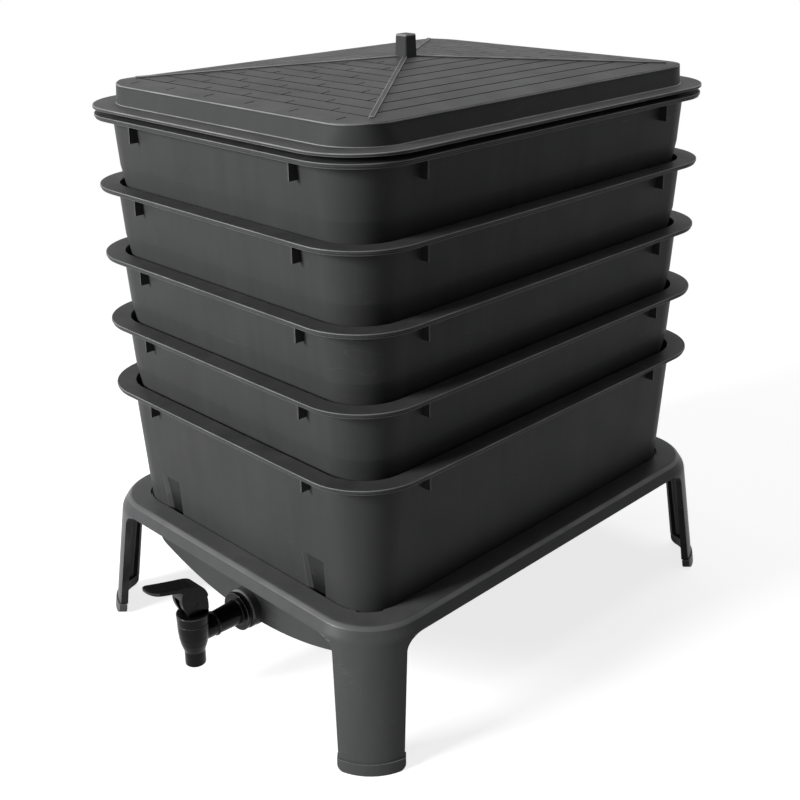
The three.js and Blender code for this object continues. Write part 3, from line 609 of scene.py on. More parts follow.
def build_drain_tree():
    graph, given, finish = geometry_tree("drain holes", {
        "Across": 6, "Along": 8, "Width": 0.26, "Length": 0.378, "Hole": HOLE_GRID["hole"],
        "Middle": (0, 0, 0)})
    grid = graph.out("GeometryNodeMeshGrid", Size_X=given["Width"], Size_Y=given["Length"],
                     Vertices_X=given["Across"], Vertices_Y=given["Along"])
    spots = graph.out("GeometryNodeTransform", Geometry=grid, Translation=given["Middle"])
    cube = graph.out("GeometryNodeMeshCube", Size=given["Hole"])
    holes = graph.out("GeometryNodeInstanceOnPoints", Points=spots, Instance=cube)
    return finish(graph.cut(given["Geometry"], graph.realized(holes)))


DRAIN_TREE = build_drain_tree()
print(DRAIN_TREE.name, "takes", [item.name for item in DRAIN_TREE.interface.items_tree])


# %% [markdown]
# ### Gussets and seat posts by rule
# Eight thin gusset plates brace each rim, two a side, and eight posts inside each tray
# carry the foot of the next one. They share a pattern: one plate, set at the same distance
# from the middle on opposite sides and turned to face outwards. The tree below sets four
# copies, and a turn of 90 degrees gives the other two sides.

# %% The tree that sets a plate on opposite sides
def build_sides_tree():
    graph, given, finish = geometry_tree("plates on two sides", {
        "Plate": "Object", "Apart": 0.248, "Out": 0.26, "Turn": 0.0, "Middle": (0, 0, 0)})
    grid = graph.out("GeometryNodeMeshGrid", Vertices_X=2, Vertices_Y=2, Size_X=given["Apart"],
                     Size_Y=graph.times(given["Out"], 2.0))
    y = graph.axis(graph.out("GeometryNodeInputPosition"), "Y")
    back = graph.times(graph.calc("LESS_THAN", y, 0.0), math.pi)
    plate = graph.node("GeometryNodeObjectInfo", Object=given["Plate"]).outputs["Geometry"]
    copies = graph.out("GeometryNodeInstanceOnPoints", Points=grid, Instance=plate,
                       Rotation=graph.xyz(Z=back))
    turned = graph.out("GeometryNodeTransform", Geometry=copies, Translation=given["Middle"],
                       Rotation=graph.xyz(Z=given["Turn"]))
    return finish(graph.joined(given["Geometry"], turned))


SIDES_TREE = build_sides_tree()
GUSSET = dict(thick=1.8, reach=8.5, head=4.0, foot=25.0, at=(124.0, 185.0))  # head, foot: drops below the rim
POST = dict(thick=5.0, bearing=6.0, at=(96.0, 140.0))
SEAT_DROP = 20.3


def side_block(name, outline, x0, x1, lean=0.0, face=0.0):
    """A side outline of (y, up) points, drawn out from x0 to x1. Its ends may lean inwards
    as they go deeper behind a face."""
    ends = ((x0, lean), (x1, -lean))
    return faced(skin(name, [[(x + by * (face - abs(y)), y, up) for y, up in outline] for x, by in ends]))


def set_on_sides(obj, outline, thick, top, at, out, material):
    """Sets plates with a side outline of (out, up) points at +-at[0] on the front and the
    back and at +-at[1] on the left and the right. out is how far away those sides are."""
    plate = side_block("plate", outline, -thick / 2, thick / 2)
    plate.data.transform(Matrix.Translation((0, -STACK_Y, 0)))
    soften(plate, 0.35)
    for apart, away, turn in ((at[0], out[1], 0.0), (at[1], out[0], math.pi / 2)):
        run_tree(obj, SIDES_TREE, plate=plate, apart=2 * apart * MM, out=away * MM, turn=turn,
                 middle=Vector((0, STACK_Y, top * MM)), material=material)
    bpy.data.objects.remove(plate)
    return obj


def fit_out(tray, shape, top):
    """Cuts a tray's drain holes, and sets its gussets and its posts."""
    middle = Vector((0, STACK_Y, (top - shape["height"] + WALL / 2) * MM))
    run_tree(tray, DRAIN_TREE, middle=middle, material=TRAY_PLASTIC, **HOLE_GRID)
    inside = -DRAFT * GUSSET["foot"] - WALL / 2
    gusset = rectangle(inside, -GUSSET["foot"], GUSSET["reach"], -GUSSET["head"])
    set_on_sides(tray, gusset, GUSSET["thick"], top, GUSSET["at"], WALL_TOP, TRAY_PLASTIC)
    tip = wall_out(UPPER, -UPPER["height"]) - POST["bearing"]
    band, low = shape["band"] - shape["height"], -shape["height"] + WALL / 2
    backs = [(wall_out(shape, up) - WALL / 2, up) for up in (low, band, -SEAT_DROP)]
    post = [(min(tip, backs[0][0] - 1), low), *backs, (tip, -SEAT_DROP)]
    set_on_sides(tray, post, POST["thick"], top, POST["at"], WALL_TOP, TRAY_PLASTIC)


# %% The four upper trays
for k in range(1, 5):
    tray = tray_skin(f"worm_tray_{k}", UPPER, rim_tops[k])
    fit_out(tray, UPPER, rim_tops[k])
    dress(tray, TRAY_PLASTIC, "body_plastic", f"tray_{k}_body", f"tray_{k}")

# %% [markdown]
# ### The bottom tray and its hand recesses
# The bottom tray is deeper and stands inside the stand's opening. Front and back it has two
# pockets for the fingertips. A pocket is a side outline drawn out over its width: a larger
# one, kept inside the wall's outer face, lines it, and the pocket itself is then cut.

# %% The bottom tray
LEDGE = corners_of("stand_frame")[1][2]
RECESS = dict(inner=104.0, width=29.5, above=40.0, depth_top=3.5, depth_foot=5.5, lean=0.6,
              marked=(1.2, 12.0))  # how far behind the wall's face the marked faces lie
BURIED = 0.2  # how far a liner stays behind the wall's outer face
DEEP_TOP = rim_tops[5]


def recess_outline(end, inset, growth):
    foot, band = -DEEP["height"], DEEP["band"] - DEEP["height"]
    pocket_top = LEDGE + RECESS["above"] - DEEP_TOP
    top, low = pocket_top + growth, foot - (0 if growth else 1)

    def back(up):
        share = (pocket_top - up) / (pocket_top - foot)
        depth = RECESS["depth_top"] + share * (RECESS["depth_foot"] - RECESS["depth_top"])
        return end * (WALL_TOP[1] + wall_out(DEEP, up) - depth - inset)

    outside = end * RIM[1]
    corners = [(back(foot), low), (outside, low), (outside, top), (back(top), top), (back(band), band)]
    return [(y, up + DEEP_TOP) for y, up in corners]


def in_recess(middle):
    """Whether a place is in a hand recess, inwards of the wall's outer face."""
    across, out = abs(middle.x), abs(middle.y - STACK_Y / MM)
    face = WALL_TOP[1] + wall_out(DEEP, middle.z - DEEP_TOP)
    beside = RECESS["inner"] - 1 < across < RECESS["inner"] + RECESS["width"] + 1
    near, far = RECESS["marked"]
    return beside and middle.z < LEDGE + RECESS["above"] and face - far < out < face - near


# Pocket backs get painted shade, darker towards the bottom.
def shaded_recess_back(middle, normal):
    return in_recess(middle) and normal.y * (middle.y - STACK_Y / MM) > 0 and abs(normal.y) > 0.8


# Recess side walls get a painted highlight, lighter as if lit.
def lit_recess_jamb(middle, normal):
    return in_recess(middle) and abs(normal.x) > 0.5


deep = tray_skin("castings_tray", DEEP, DEEP_TOP)
foot, band = -DEEP["height"], DEEP["band"] - DEEP["height"]
face = WALL_TOP[1] + wall_out(DEEP, LEDGE + RECESS["above"] / 2 - DEEP_TOP)
leaning = dict(lean=RECESS["lean"], face=face)
for side, end in ((s, e) for s in (-1, 1) for e in (-1, 1)):
    x0, x1 = sorted((side * RECESS["inner"], side * (RECESS["inner"] + RECESS["width"])))
    liner = side_block("liner", recess_outline(end, WALL, WALL), x0 - WALL, x1 + WALL, **leaning)
    body = moulding("body", WALL_TOP, [
        (wall_out(DEEP, foot) - BURIED, DEEP_TOP + foot + BURIED, 0),
        (wall_out(DEEP, band) - BURIED, DEEP_TOP + band, 0), (-BURIED, DEEP_TOP - RIM_THICK, 0)])
    join(deep, within(liner, body))
    cut(deep, side_block("pocket", recess_outline(end, 0, 0), x0, x1, **leaning))
soften(tidy(deep), 0.6, angle=40)
fit_out(deep, DEEP, DEEP_TOP)
# Pocket backs get painted shade, and the recess side walls a painted highlight.
dress(deep, TRAY_PLASTIC, "body_plastic", "tray_5_body", "tray_5", pocket=shaded_recess_back, edge=lit_recess_jamb)

# %% [markdown]
# ## The lid
# The lid is a shell: a flange that lies over the top rim, a band, and a low hipped roof.
# Its section starts under the roof's tip, runs down the inside, round the skirt that keeps
# the lid in place, out along the flange and up again, so the wall has its real thickness.

# %% The lid's shell
SKIRT = dict(depth=13.0, skin=2.6, gap=1.6)
VENT_GAP, FLANGE, LID_WALL = 5.6, 3.2, 2.6
LID_BASE = rim_tops[1] + VENT_GAP
EAVES_UP, ROOF_RISE, BAND_LEAN = FLANGE + 20.4, 17.0, 4.5
ROOF_UP = EAVES_UP + ROOF_RISE


def grown(outline, by):
    return tuple(size + by for size in outline)


flange = grown(RIM, 1.0)
mouth = grown(WALL_TOP, DRAFT * RIM_THICK - WALL)
skirt = grown(mouth, -SKIRT["gap"])
skirt_in = grown(skirt, -SKIRT["skin"])
band_foot = (RIM[0] - 19.0, RIM[1] - 22.5, 54.0)
eaves = (band_foot[0] - BAND_LEAN, band_foot[1] - BAND_LEAN, 40.0)
roof_edge = grown(eaves, -1.2)
tip = (2.0, 2.0, 1.0)
inner_section = [
    (*tip, ROOF_UP - LID_WALL, 0), (*grown(eaves, -LID_WALL), EAVES_UP - LID_WALL, 1.5),
    (*skirt_in, FLANGE, 2), (*skirt_in, -SKIRT["depth"], 0.8), (*skirt, -SKIRT["depth"], 0.8),
    (*skirt, 0, 1), (*flange, 0, 0.6), (*flange, FLANGE, 0.9), (*band_foot, FLANGE, 1.0),
    (*eaves, EAVES_UP - 4, 0)]
roof_section = [(*eaves, EAVES_UP - 3, 0), (*eaves, EAVES_UP - 0.9, 1.4),
                (*roof_edge, EAVES_UP, 1.4), (*tip, ROOF_UP, 0)]
RIB_AIM = math.radians(32)  # where a hip meets the round corner of the eaves, from the X axis
rib_way = math.cos(RIB_AIM), math.sin(RIB_AIM)
aim = [size - roof_edge[2] * (1 - part) for size, part in zip(roof_edge, rib_way)]
SLOPE_Y = (ROOF_RISE + 0.4) / roof_edge[1]
SLOPE_X = SLOPE_Y * aim[1] / aim[0]


def roof_height(x, y):
    """The height of four planes that meet in the hips."""
    return ROOF_UP - max(SLOPE_X * abs(x), SLOPE_Y * abs(y))


rings = [ring(*level) for level in rounded(inner_section, 5)]
lifts = [roof_height(x, y) - EAVES_UP for x, y, _ in ring(*roof_edge, 0)]
for level in rounded(roof_section, 5)[:-1]:
    rings.append([(x, y, z + lift) for (x, y, z), lift in zip(ring(*level), lifts)])
rings.append([(x, y, roof_height(x, y)) for x, y, _ in ring(*tip, 0)])
lid = skin("hipped_lid", [[(x, y, z + LID_BASE) for x, y, z in level] for level in rings])
print("lid's flange at", round(LID_BASE, 2), "mm, slopes", round(SLOPE_X, 3), "and", round(SLOPE_Y, 3))


# %% [markdown]
# ### Roof courses by rule
# The roof imitates tiles. Every face has long grooves parallel to its eaves, and the front
# and back ones also have short joints that step from row to row, as bricks do. The tree
# lays thin cutters along the slope: one for each course, as long as the roof is wide there,
# and a grid of joints whose odd rows are shifted by half a tile.

# %% The tree that cuts one roof face and its opposite
def build_course_tree():
    graph, given, finish = geometry_tree("roof courses", {
        "Courses": 8, "First": 0.214, "Pitch": 0.0223, "Hip": 0.745, "Slope": 0.073, "Groove": 0.0011,
        "Depth": 0.0009, "Joints": 0, "Tile": 0.063, "Joint": 0.0115, "Turn": 0.0, "Peak": (0, 0, 0)})
    calc, times, xyz = graph.calc, graph.times, graph.xyz
    tilt = calc("ARCTANGENT", given["Slope"])

    def away(axis):
        """How far a point is from the peak along an axis."""
        return calc("ABSOLUTE", graph.axis(graph.out("GeometryNodeInputPosition"), axis))

    def line(count, start, step):
        return graph.out("GeometryNodeMeshLine", Count=count, Start_Location=start, Offset=step)

    def cutters(points, size, selection=True):
        """Blocks on flat points that are dropped onto the slope, and the same ones opposite."""
        down = times(times(away("Y"), given["Slope"]), -1.0)
        dropped = graph.out("GeometryNodeSetPosition", Geometry=points, Offset=xyz(Z=down))
        blocks = graph.out("GeometryNodeInstanceOnPoints", Points=dropped, Selection=selection,
                           Instance=graph.out("GeometryNodeMeshCube", Size=(1.0, 1.0, 1.0)),
                           Rotation=xyz(X=tilt), Scale=size)
        turns = given["Turn"], calc("ADD", given["Turn"], math.pi)
        return graph.realized(graph.joined(*(
            graph.out("GeometryNodeTransform", Geometry=blocks, Translation=given["Peak"],
                      Rotation=xyz(Z=turn)) for turn in turns)))

    eaves_row, next_row = times(given["First"], -1.0), xyz(Y=given["Pitch"])
    reach, deep_cut = times(away("Y"), given["Hip"]), times(given["Depth"], 2.0)
    courses = cutters(line(given["Courses"], xyz(Y=eaves_row), next_row),
                      xyz(X=times(reach, 2.0), Y=given["Groove"], Z=deep_cut))

    row = line(given["Joints"], (0, 0, 0), xyz(X=given["Tile"]))
    row_x = times(times(calc("SUBTRACT", given["Joints"], 1.0), given["Tile"]), -0.5)
    row_y = calc("ADD", calc("ADD", eaves_row, times(given["Pitch"], -1.0)), times(given["Joint"], 0.5))
    ladder = line(calc("ADD", given["Courses"], 1.0), xyz(X=row_x, Y=row_y), next_row)
    odd = calc("MODULO", graph.out("GeometryNodeInputIndex"), 2.0)
    stepped = graph.out("GeometryNodeSetPosition", Geometry=ladder,
                        Offset=xyz(X=times(times(odd, given["Tile"]), 0.5)))
    tiles = graph.realized(graph.out("GeometryNodeInstanceOnPoints", Points=stepped, Instance=row))
    inside = calc("LESS_THAN", away("X"), calc("SUBTRACT", reach, 0.004))
    joints = cutters(tiles, xyz(X=given["Groove"], Y=given["Joint"], Z=deep_cut), inside)
    return finish(graph.cut(graph.cut(given["Geometry"], courses), joints))


COURSE_TREE = build_course_tree()
FRONT_COURSES = dict(courses=9, first=0.2215, pitch=0.0222, hip=0.795, slope=SLOPE_Y, joints=8,
                     groove=0.0017, depth=0.0014, turn=0.0)
SIDE_COURSES = dict(courses=7, first=0.1688, pitch=0.0234, hip=1.23, slope=SLOPE_X, joints=0,
                    groove=0.0019, depth=0.0016, turn=math.pi / 2)
peak = Vector((0, STACK_Y, (LID_BASE + ROOF_UP) * MM))
for sizes in (FRONT_COURSES, SIDE_COURSES):
    run_tree(lid, COURSE_TREE, peak=peak, material=LID_PLASTIC, **sizes)
print("roof courses cut:", len(lid.data.polygons), "faces")

# %% [markdown]
# ### Hip ribs, knob and pads
# A raised rib covers each hip and a square knob stands on the tip. They are separate
# closed mouldings set into the roof, so their own soft edges stay whole.

# %% Ribs, knob and pads
RIB = dict(end=0.95, width=5.0, above=1.7, below=2.2)
PAD = dict(long=14.0, wide=5.0, at=(96.0, 140.0), inset=4.0)
KNOB_UP = corners_of("lid")[1][2]


def merged(obj, *others):
    """Puts other pieces' faces into one piece, without joining their surfaces."""
    def gather(work):
        for piece in others:
            work.from_mesh(piece.data)
    edited(obj, gather)
    for piece in others:
        bpy.data.objects.remove(piece)


def bar(name, start, end, width, above, below):
    """A straight bar of a given width, so far above and below the line from start to end."""
    start, end = Vector(start), Vector(end)
    along = (end - start).normalized()
    across = Vector((0, 0, 1)).cross(along).normalized() * width / 2
    up = along.cross(across).normalized()
    if up.z < 0:
        up = -up
    corners = rectangle(-1, -below, 1, above)
    return faced(skin(name, [[p + across * side + up * high for side, high in corners]
                             for p in (start, end)]))


ribs = []
for sx, sy in QUARTERS:
    x, y = (RIB["end"] * reach for reach in aim)
    end = (sx * x, sy * y, LID_BASE + roof_height(x, y))
    rib = bar("rib", (0, 0, LID_BASE + ROOF_UP), end, RIB["width"], RIB["above"], RIB["below"])
    ribs.append(soften(rib, 0.8, 3))
knob_foot = LID_BASE + ROOF_UP - 3
knob = moulding("knob", (9.0, 9.0, 3.0), [(0, knob_foot, 0), (-1.0, KNOB_UP, 2.2), (-8.4, KNOB_UP, 0)])
merged(lid, *ribs, knob)
pad = rectangle(-PAD["wide"] / 2, -VENT_GAP + 0.3, PAD["wide"] / 2, 2.0)
set_on_sides(lid, pad, PAD["long"], LID_BASE, PAD["at"], grown(mouth, PAD["inset"]), LID_PLASTIC)
# coves paints a highlight on the band's foot fillet, and the groove rule paints shade on every face under the
# flange.
dress(lid, LID_PLASTIC, "body_plastic", "lid_body", "lid", coves=True,
      groove=lambda middle, normal: middle.z < LID_BASE + 0.1)

# %% [markdown]
# ## The stand
# The stand is one moulding: a top face with an opening, a large rounded edge, a flared
# apron, and four legs that bend round the corners. It is cut from one skin, the space
# between an outer and an inner surface. Legs keep their front outline, with a fillet at each
# side, and get side walls behind their edges, as the real legs have.

# %% The stand's surfaces
STAND_WALL, FIT = 2.5, 0.3  # FIT is the play between pieces
opening = tuple(size + wall_out(DEEP, LEDGE - DEEP_TOP) + 1.4 for size in WALL_TOP)
stand_edge = (opening[0] + 27.6, opening[1] + 24.6, opening[2] + 20.6)
APRON = dict(drop=13.0, flare=6.5)
LEG = dict(flare=9.4, corner=58.0, half_top=35.5, half_foot=31.3, fillet=15.0, returns_top=2.5,
           returns_foot=4.5)
FOOT = dict(height=12.0, proud=1.7, thick=7.5, sole=4.0, corner=6.0)
apron_foot = grown(stand_edge, APRON["flare"])
apron_low = LEDGE - APRON["drop"]
leg_foot = (*(size + LEG["flare"] for size in apron_foot[:2]), LEG["corner"])


def stand_surface(name, inset, foot_inset=None, top=None):
    """The stand's outer surface, moved in by a distance, which may differ at the ground."""
    at_foot = inset if foot_inset is None else foot_inset
    top = LEDGE - (inset if top is None else top)
    return levels(name, [
        (*grown(leg_foot, -at_foot), -1.0, 0), (*grown(apron_foot, -inset), apron_low, 14),
        (*grown(stand_edge, -inset), top - 3.0, 6), (*grown(stand_edge, -inset - 3.6), top, 7),
        (*grown(stand_edge, -inset - 12), top, 0)], steps=6)


def corner_axes(corner):
    """The way outwards at a corner, the way across it, and the middle of its round edge."""
    out = Vector((*corner, 0)).normalized()
    base = [way * (size - stand_edge[2]) for way, size in zip(corner, stand_edge)]
    return out, Vector((0, 0, 1)).cross(out), Vector((*base, 0))


def at_corner(name, outline, corner, near=0.0, far=2 * stand_edge[2]):
    """A front outline of (across, up) points, drawn outwards at one corner of the stand."""
    out, across, base = corner_axes(corner)
    return faced(skin(name, [[base + across * t + out * depth + Vector((0, 0, up)) for t, up in outline]
                             for depth in (near, far)]))


def leg_outline(inset=0.0):
    right = [(LEG["half_foot"] - inset, -1.0)]
    for i in range(11):
        angle = i / 10 * math.pi / 2
        right.append((LEG["half_top"] - inset + LEG["fillet"] * (1 - math.cos(angle)),
                      apron_low - LEG["fillet"] * (1 - math.sin(angle))))
    right.append((right[-1][0], LEDGE - 5))
    return right + [(-t, up) for t, up in reversed(right)]


def block(name, low, high):
    """A plain block, used only to cut with or to be cut."""
    return skin(name, [[(x, y, z) for x, y in rectangle(*low[:2], *high[:2])] for z in (low[2], high[2])])


def slab(name, low, high):
    return block(name, (-400, -400, low), (400, 400, high))


def legs(name, inset=0.0):
    return [at_corner(name, leg_outline(inset), corner) for corner in QUARTERS]


print("stand's opening, mm:", [round(size, 1) for size in opening], "apron's foot:", round(apron_low, 1))

# %% The stand's skin, with legs, returns, collar wall and corner notches
kept = join(slab("kept", apron_low, LEDGE + 1), *legs("leg"))
stand = cut(stand_surface("stand", 0), stand_surface("inside", STAND_WALL))
within(stand, kept, slab("cut", FOOT["sole"] + FIT, LEDGE + 1))
returns = cut(stand_surface("returns", STAND_WALL / 2), stand_surface(
    "behind", STAND_WALL + LEG["returns_top"], STAND_WALL + LEG["returns_foot"], STAND_WALL))
cheeks = [cut(cheek, gap) for cheek, gap in zip(legs("cheek"), legs("gap", STAND_WALL))]
within(returns, join(cheeks[0], *cheeks[1:]),
       slab("over", FOOT["height"] + FIT, LEDGE))
join(stand, returns)
print("stand skin:", len(stand.data.polygons), "faces")

BOWL_FLANGE, FLANGE_THICK = corners_of("collector_bowl")[1][2], 3.0
shelf_top = BOWL_FLANGE - FLANGE_THICK - FIT
shelf_low = shelf_top - STAND_WALL
notch_low = LEDGE - STAND_WALL
join(stand, prism("collar", grown(opening, STAND_WALL), shelf_low, LEDGE - STAND_WALL / 2))
cut(stand, prism("hole", opening, shelf_top, LEDGE + 1),
    prism("shelf hole", grown(opening, -4.2), shelf_low - 1, LEDGE))
for corner in QUARTERS:
    wedge = at_corner("wedge", rectangle(-13, notch_low - 1, 13, LEDGE + 2), corner, -40, opening[2] + 20)
    step = within(prism("step", grown(opening, 2.0), notch_low, LEDGE + 1), wedge)
    cut(stand, step)
soften(tidy(stand, 0.05), 0.8, 2, angle=35)


def behind_leg(middle, normal):
    """How much a face looks sideways and how much inwards, if it is on a leg's side walls."""
    side_y = middle.y - STACK_Y / MM
    out, across, base = corner_axes((math.copysign(1, middle.x), math.copysign(1, side_y)))
    off = Vector((middle.x, side_y, 0)) - base
    on_wall = abs(off.dot(across)) > LEG["half_foot"] - STAND_WALL - 0.5 and middle.z < apron_low + 1
    return (abs(normal.dot(across)), -normal.dot(out)) if on_wall else (0, 0)


def lit_line(middle, normal):
    """Faces that get a painted highlight: the large round of the stand's edge, and what faces inwards behind
    a leg.
    """
    return middle.z > LEDGE - 3.4 and 0.35 < normal.z < 0.93 or behind_leg(middle, normal)[1] > 0.6


# lit_line faces get a painted highlight, and the legs' sideways side walls painted shade through the groove
# mark.
dress(stand, STAND_PLASTIC, "body_plastic", "stand_body", "stand_frame", edge=lit_line,
      groove=lambda middle, normal: behind_leg(middle, normal)[0] > 0.8)

# %% [markdown]
# ### The feet
# A shoe is pushed over the end of each leg. It stands a little proud all round, which is
# the pale line that is seen above the ground.

# %% Four shoes
CORNER_NAMES = {(-1, -1): "front_left", (1, -1): "front_right",
                (1, 1): "back_right", (-1, 1): "back_left"}


def leg_shell(name, growth, low, high):
    """The space inside the legs' outer face, moved out by a growth, between two heights."""
    shares = [(up, (up + 1.0) / (apron_low + 1.0)) for up in (low, high)]
    return levels(name, [(*(a + (b - a) * share + growth for a, b in zip(leg_foot, apron_foot)), up, 0)
                         for up, share in shares])


half, wide = LEG["half_foot"] + FOOT["proud"], LEG["half_foot"] + 0.6
front = [(half - FOOT["corner"] * (1 - math.sin(a)), FOOT["corner"] * (1 - math.cos(a)))
         for a in (math.pi / 2 * i / 8 for i in range(9))] + [(half, FOOT["height"])]
front += [(-t, up) for t, up in reversed(front)]
for corner, place in CORNER_NAMES.items():
    shoe = cut(leg_shell("shoe", FOOT["proud"], 0, FOOT["height"]),
               leg_shell("back", FOOT["proud"] - FOOT["thick"], -1, FOOT["height"] + 1))
    within(shoe, at_corner("cut", front, corner))
    soften(tidy(shoe), 1.1, 3, angle=35)
    slot = cut(leg_shell("slot", FIT, FOOT["sole"], FOOT["height"] + 1),
               leg_shell("web", -STAND_WALL - FIT, FOOT["sole"] - 1, FOOT["height"] + 2))
    inside = rectangle(-wide, FOOT["sole"], wide, FOOT["height"] + 1)
    within(slot, at_corner("cut", inside, corner))
    cut(shoe, slot)
    dress(shoe, STAND_PLASTIC, "body_plastic", "stand_body", f"foot_{place}").name = f"shoe_{place}"

# %% [markdown]
# ## The collector
# A trough under the trays catches the liquid. Its floor is a wide curve that climbs to the
# back, so it all runs to the front, where a round sump and a boss carry the tap. It is the
# space above the curved floor, inside a tapered outline, less a smaller copy of itself.

# %% The trough, its sump and its boss
bowl_top = grown(opening, -4.2 - FIT)
flange_low = BOWL_FLANGE - FLANGE_THICK
floor_low = flange_low - 62.4
TROUGH = dict(radius=440.0, rise=20.0, draft=0.039, reach=200.0, length=520.0)
SUMP = dict(radius=22.0, length=30.0, boss=21.5, out=10.7, root=1.2, bore=9.6)
pipe_up = floor_low + 13.2
ON_PIPE = (0, 0, pipe_up)
front = -(bowl_top[1] - TROUGH["draft"] * (flange_low - pipe_up))


def turned(name, section, axis="y", at=ON_PIPE, steps=72, closed=False):
    """A round piece from (radius, along, edge radius) corners. A closed section has a bore."""
    corners = [(radius, radius, radius, along, edge) for radius, along, edge in section]
    path = rounded(corners + corners[:2], 5)[1:-1] if closed else rounded(corners, 5)
    order = {"x": (2, 0, 1), "y": (0, 2, 1), "z": (0, 1, 2)}[axis]
    rings = []
    for radius, _, _, along in path:
        round_ = arc(radius, (2 * math.pi * (i + 0.5) / steps for i in range(steps)))
        rings.append([[at[i] + (u, v, along)[order[i]] for i in range(3)] for u, v in round_])
    return faced(skin(name, rings, closed))


def drum(name, radius, low, high, edges=(0, 0), core=1.0, **more):
    """A round block with an edge radius at each end."""
    section = [(core, low, 0), (radius, low, edges[0]), (radius, high, edges[1]), (core, high, 0)]
    return turned(name, section, **more)


def drill(name, radius, low, high, **more):
    return turned(name, [(radius, low, 0), (radius, high, 0)], **more)


def trough_space(name, inset):
    """The space above the curved floor, which climbs from the front to the back."""
    slope, reach, radius = TROUGH["rise"] / (2 * opening[1]), TROUGH["reach"], TROUGH["radius"]
    rings = []
    for y in (-TROUGH["length"] / 2, TROUGH["length"] / 2):
        lift = floor_low + slope * (y + opening[1])
        curve = [reach * (2 * i / 60 - 1) for i in range(61)]
        points = [(x, y, lift + radius - math.sqrt((radius - inset) ** 2 - x * x)) for x in curve]
        rings.append(points + [(reach, y, LEDGE + 40), (-reach, y, LEDGE + 40)])
    return faced(skin(name, rings))


def trough(name, inset, top, edge):
    low = floor_low - 0.5
    below = -TROUGH["draft"] * (flange_low - low)
    sides = levels(name, [(*grown(bowl_top, below - inset), low, 0), (*grown(bowl_top, -inset), top, 0)])
    return soften(tidy(within(sides, trough_space("space", inset))), edge, 4, 50)


bowl = trough("collector", 0, flange_low + 0.5, 3.0)
root = front + SUMP["root"]
pad_face = front + WALL + SUMP["root"]
join(bowl,
     moulding("flange", grown(opening, -0.6), [(-30, flange_low, 0), (0, flange_low, 0.6),
                                               (0, BOWL_FLANGE, 0.9), (-30, BOWL_FLANGE, 0)]),
     drum("sump", SUMP["radius"], front, front + SUMP["length"], (0, 3)))
cut(bowl, trough("inside", WALL, BOWL_FLANGE + 20, 2.0),
    drum("sump inside", SUMP["radius"] - WALL, pad_face, front + SUMP["length"] - WALL, (0, 2)))
join(bowl, drum("boss", SUMP["boss"], front - SUMP["out"], root, (2.0, 0)),
     drum("pad", SUMP["radius"], root, pad_face, (0, 0.4)))
cut(bowl, drill("bore", SUMP["bore"], front - 12, pad_face + 2))
soften(tidy(bowl), 0.8, 2, angle=48)
# widest=2.4 also paints a highlight ring on the boss's round front edge.
dress(bowl, BOWL_PLASTIC, "body_plastic", "stand_body", "collector_bowl", widest=2.4)

# %% [markdown]
# ## Rubber
# The washers and the valve cup are matt rubber: no gloss to speak of, a mottled bloom and a
# fine grain.

# %% The rubber's finish
SEAL_RUBBER, rubber = new_material("seal_rubber")
surface = rubber.effect(GRAIN, Grain_Scale=2200.0, Cloud_Scale=120.0, Streaks=0.0)
bloom = rubber.blended(surface["Tone"], grey(0.008), grey(0.02, -0.05))
lying = rubber.effect(DUST, Scale=150.0, Amount=0.15)["Dust"]
finished(SEAL_RUBBER, Base_Color=rubber.blended(lying, bloom, grey(0.1, -0.1)), Specular_IOR_Level=0.25,
         Roughness=rubber.spread(surface["Polish"], 0.0, 1.0, 0.72, 0.9),
         Normal=rubber.out("ShaderNodeBump", Height=surface["Height"], Strength=0.5, Distance=0.00008))
print("rubber:", SEAL_RUBBER.name)

# %% [markdown]
# ## The drain tap
# The tap is turned work: a barrel with a tapered spout, a pipe with a bead and a flange, a
# screwed collar on top. Round sections with rounded corners make all of them. The lever is
# two side outlines, a hub and a paddle, drawn out over their widths and joined; the rod
# that lifts the rubber cup ends in a round knob between the hub's cheeks.

# %% The barrel, pipe and flange
pin_low, pin_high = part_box("tap_lever_pin")
AXIS = ((pin_low[1] + pin_high[1]) / 2 - STACK_Y) / MM
PIN_UP = (pin_low[2] + pin_high[2]) / 2 / MM
UPRIGHT = dict(axis="z", at=(0, AXIS, pipe_up))  # the barrel's axis, with heights from the pipe's
LEVEL = dict(axis="y", at=(0, AXIS, pipe_up))  # the pipe's axis, with distances from the barrel's
BARREL_TOP, PIPE, CHAMBER_FLOOR = 14.6, 54.7, -6.25
shank_end = corners_of("tap_body")[1][1] - AXIS

tap = turned("drain_tap", [
    (0.5, -33.6, 0), (10.75, -33.6, 0.9), (10.75, -18.0, 1.5), (12.2, -14.0, 4), (13.8, -9.0, 8),
    (15.2, -2.0, 12), (16.0, 6.0, 16), (16.25, BARREL_TOP, 0.7), (0.5, BARREL_TOP, 0)], **UPRIGHT)
pipe = turned("pipe", [
    (0.5, 0, 0), (11.5, 0, 0), (11.9, 24, 0.8), (13.1, 24, 0.5), (13.1, 26, 0.5), (12.0, 26, 0.5),
    (12.4, 36, 6), (13, PIPE, 2.2), (21, PIPE, 1.0), (21, PIPE + 3.5, 0.5), (9, PIPE + 3.5, 0),
    (9, shank_end, 0.8), (0.5, shank_end, 0)], **LEVEL)
soften(tidy(join(tap, pipe)), 1.2, 3, angle=50)
cut(tap, drill("chamber", 12.5, CHAMBER_FLOOR, 15, **UPRIGHT),
    drill("throat", 6, -34, -6, **UPRIGHT), drill("spout", 8.5, -34.5, -10, **UPRIGHT),
    drill("inlet", 6, 10, shank_end + 1, **LEVEL))
dress(tidy(tap), TAP_PLASTIC, "tap_plastic", "stand_body", "tap_body")

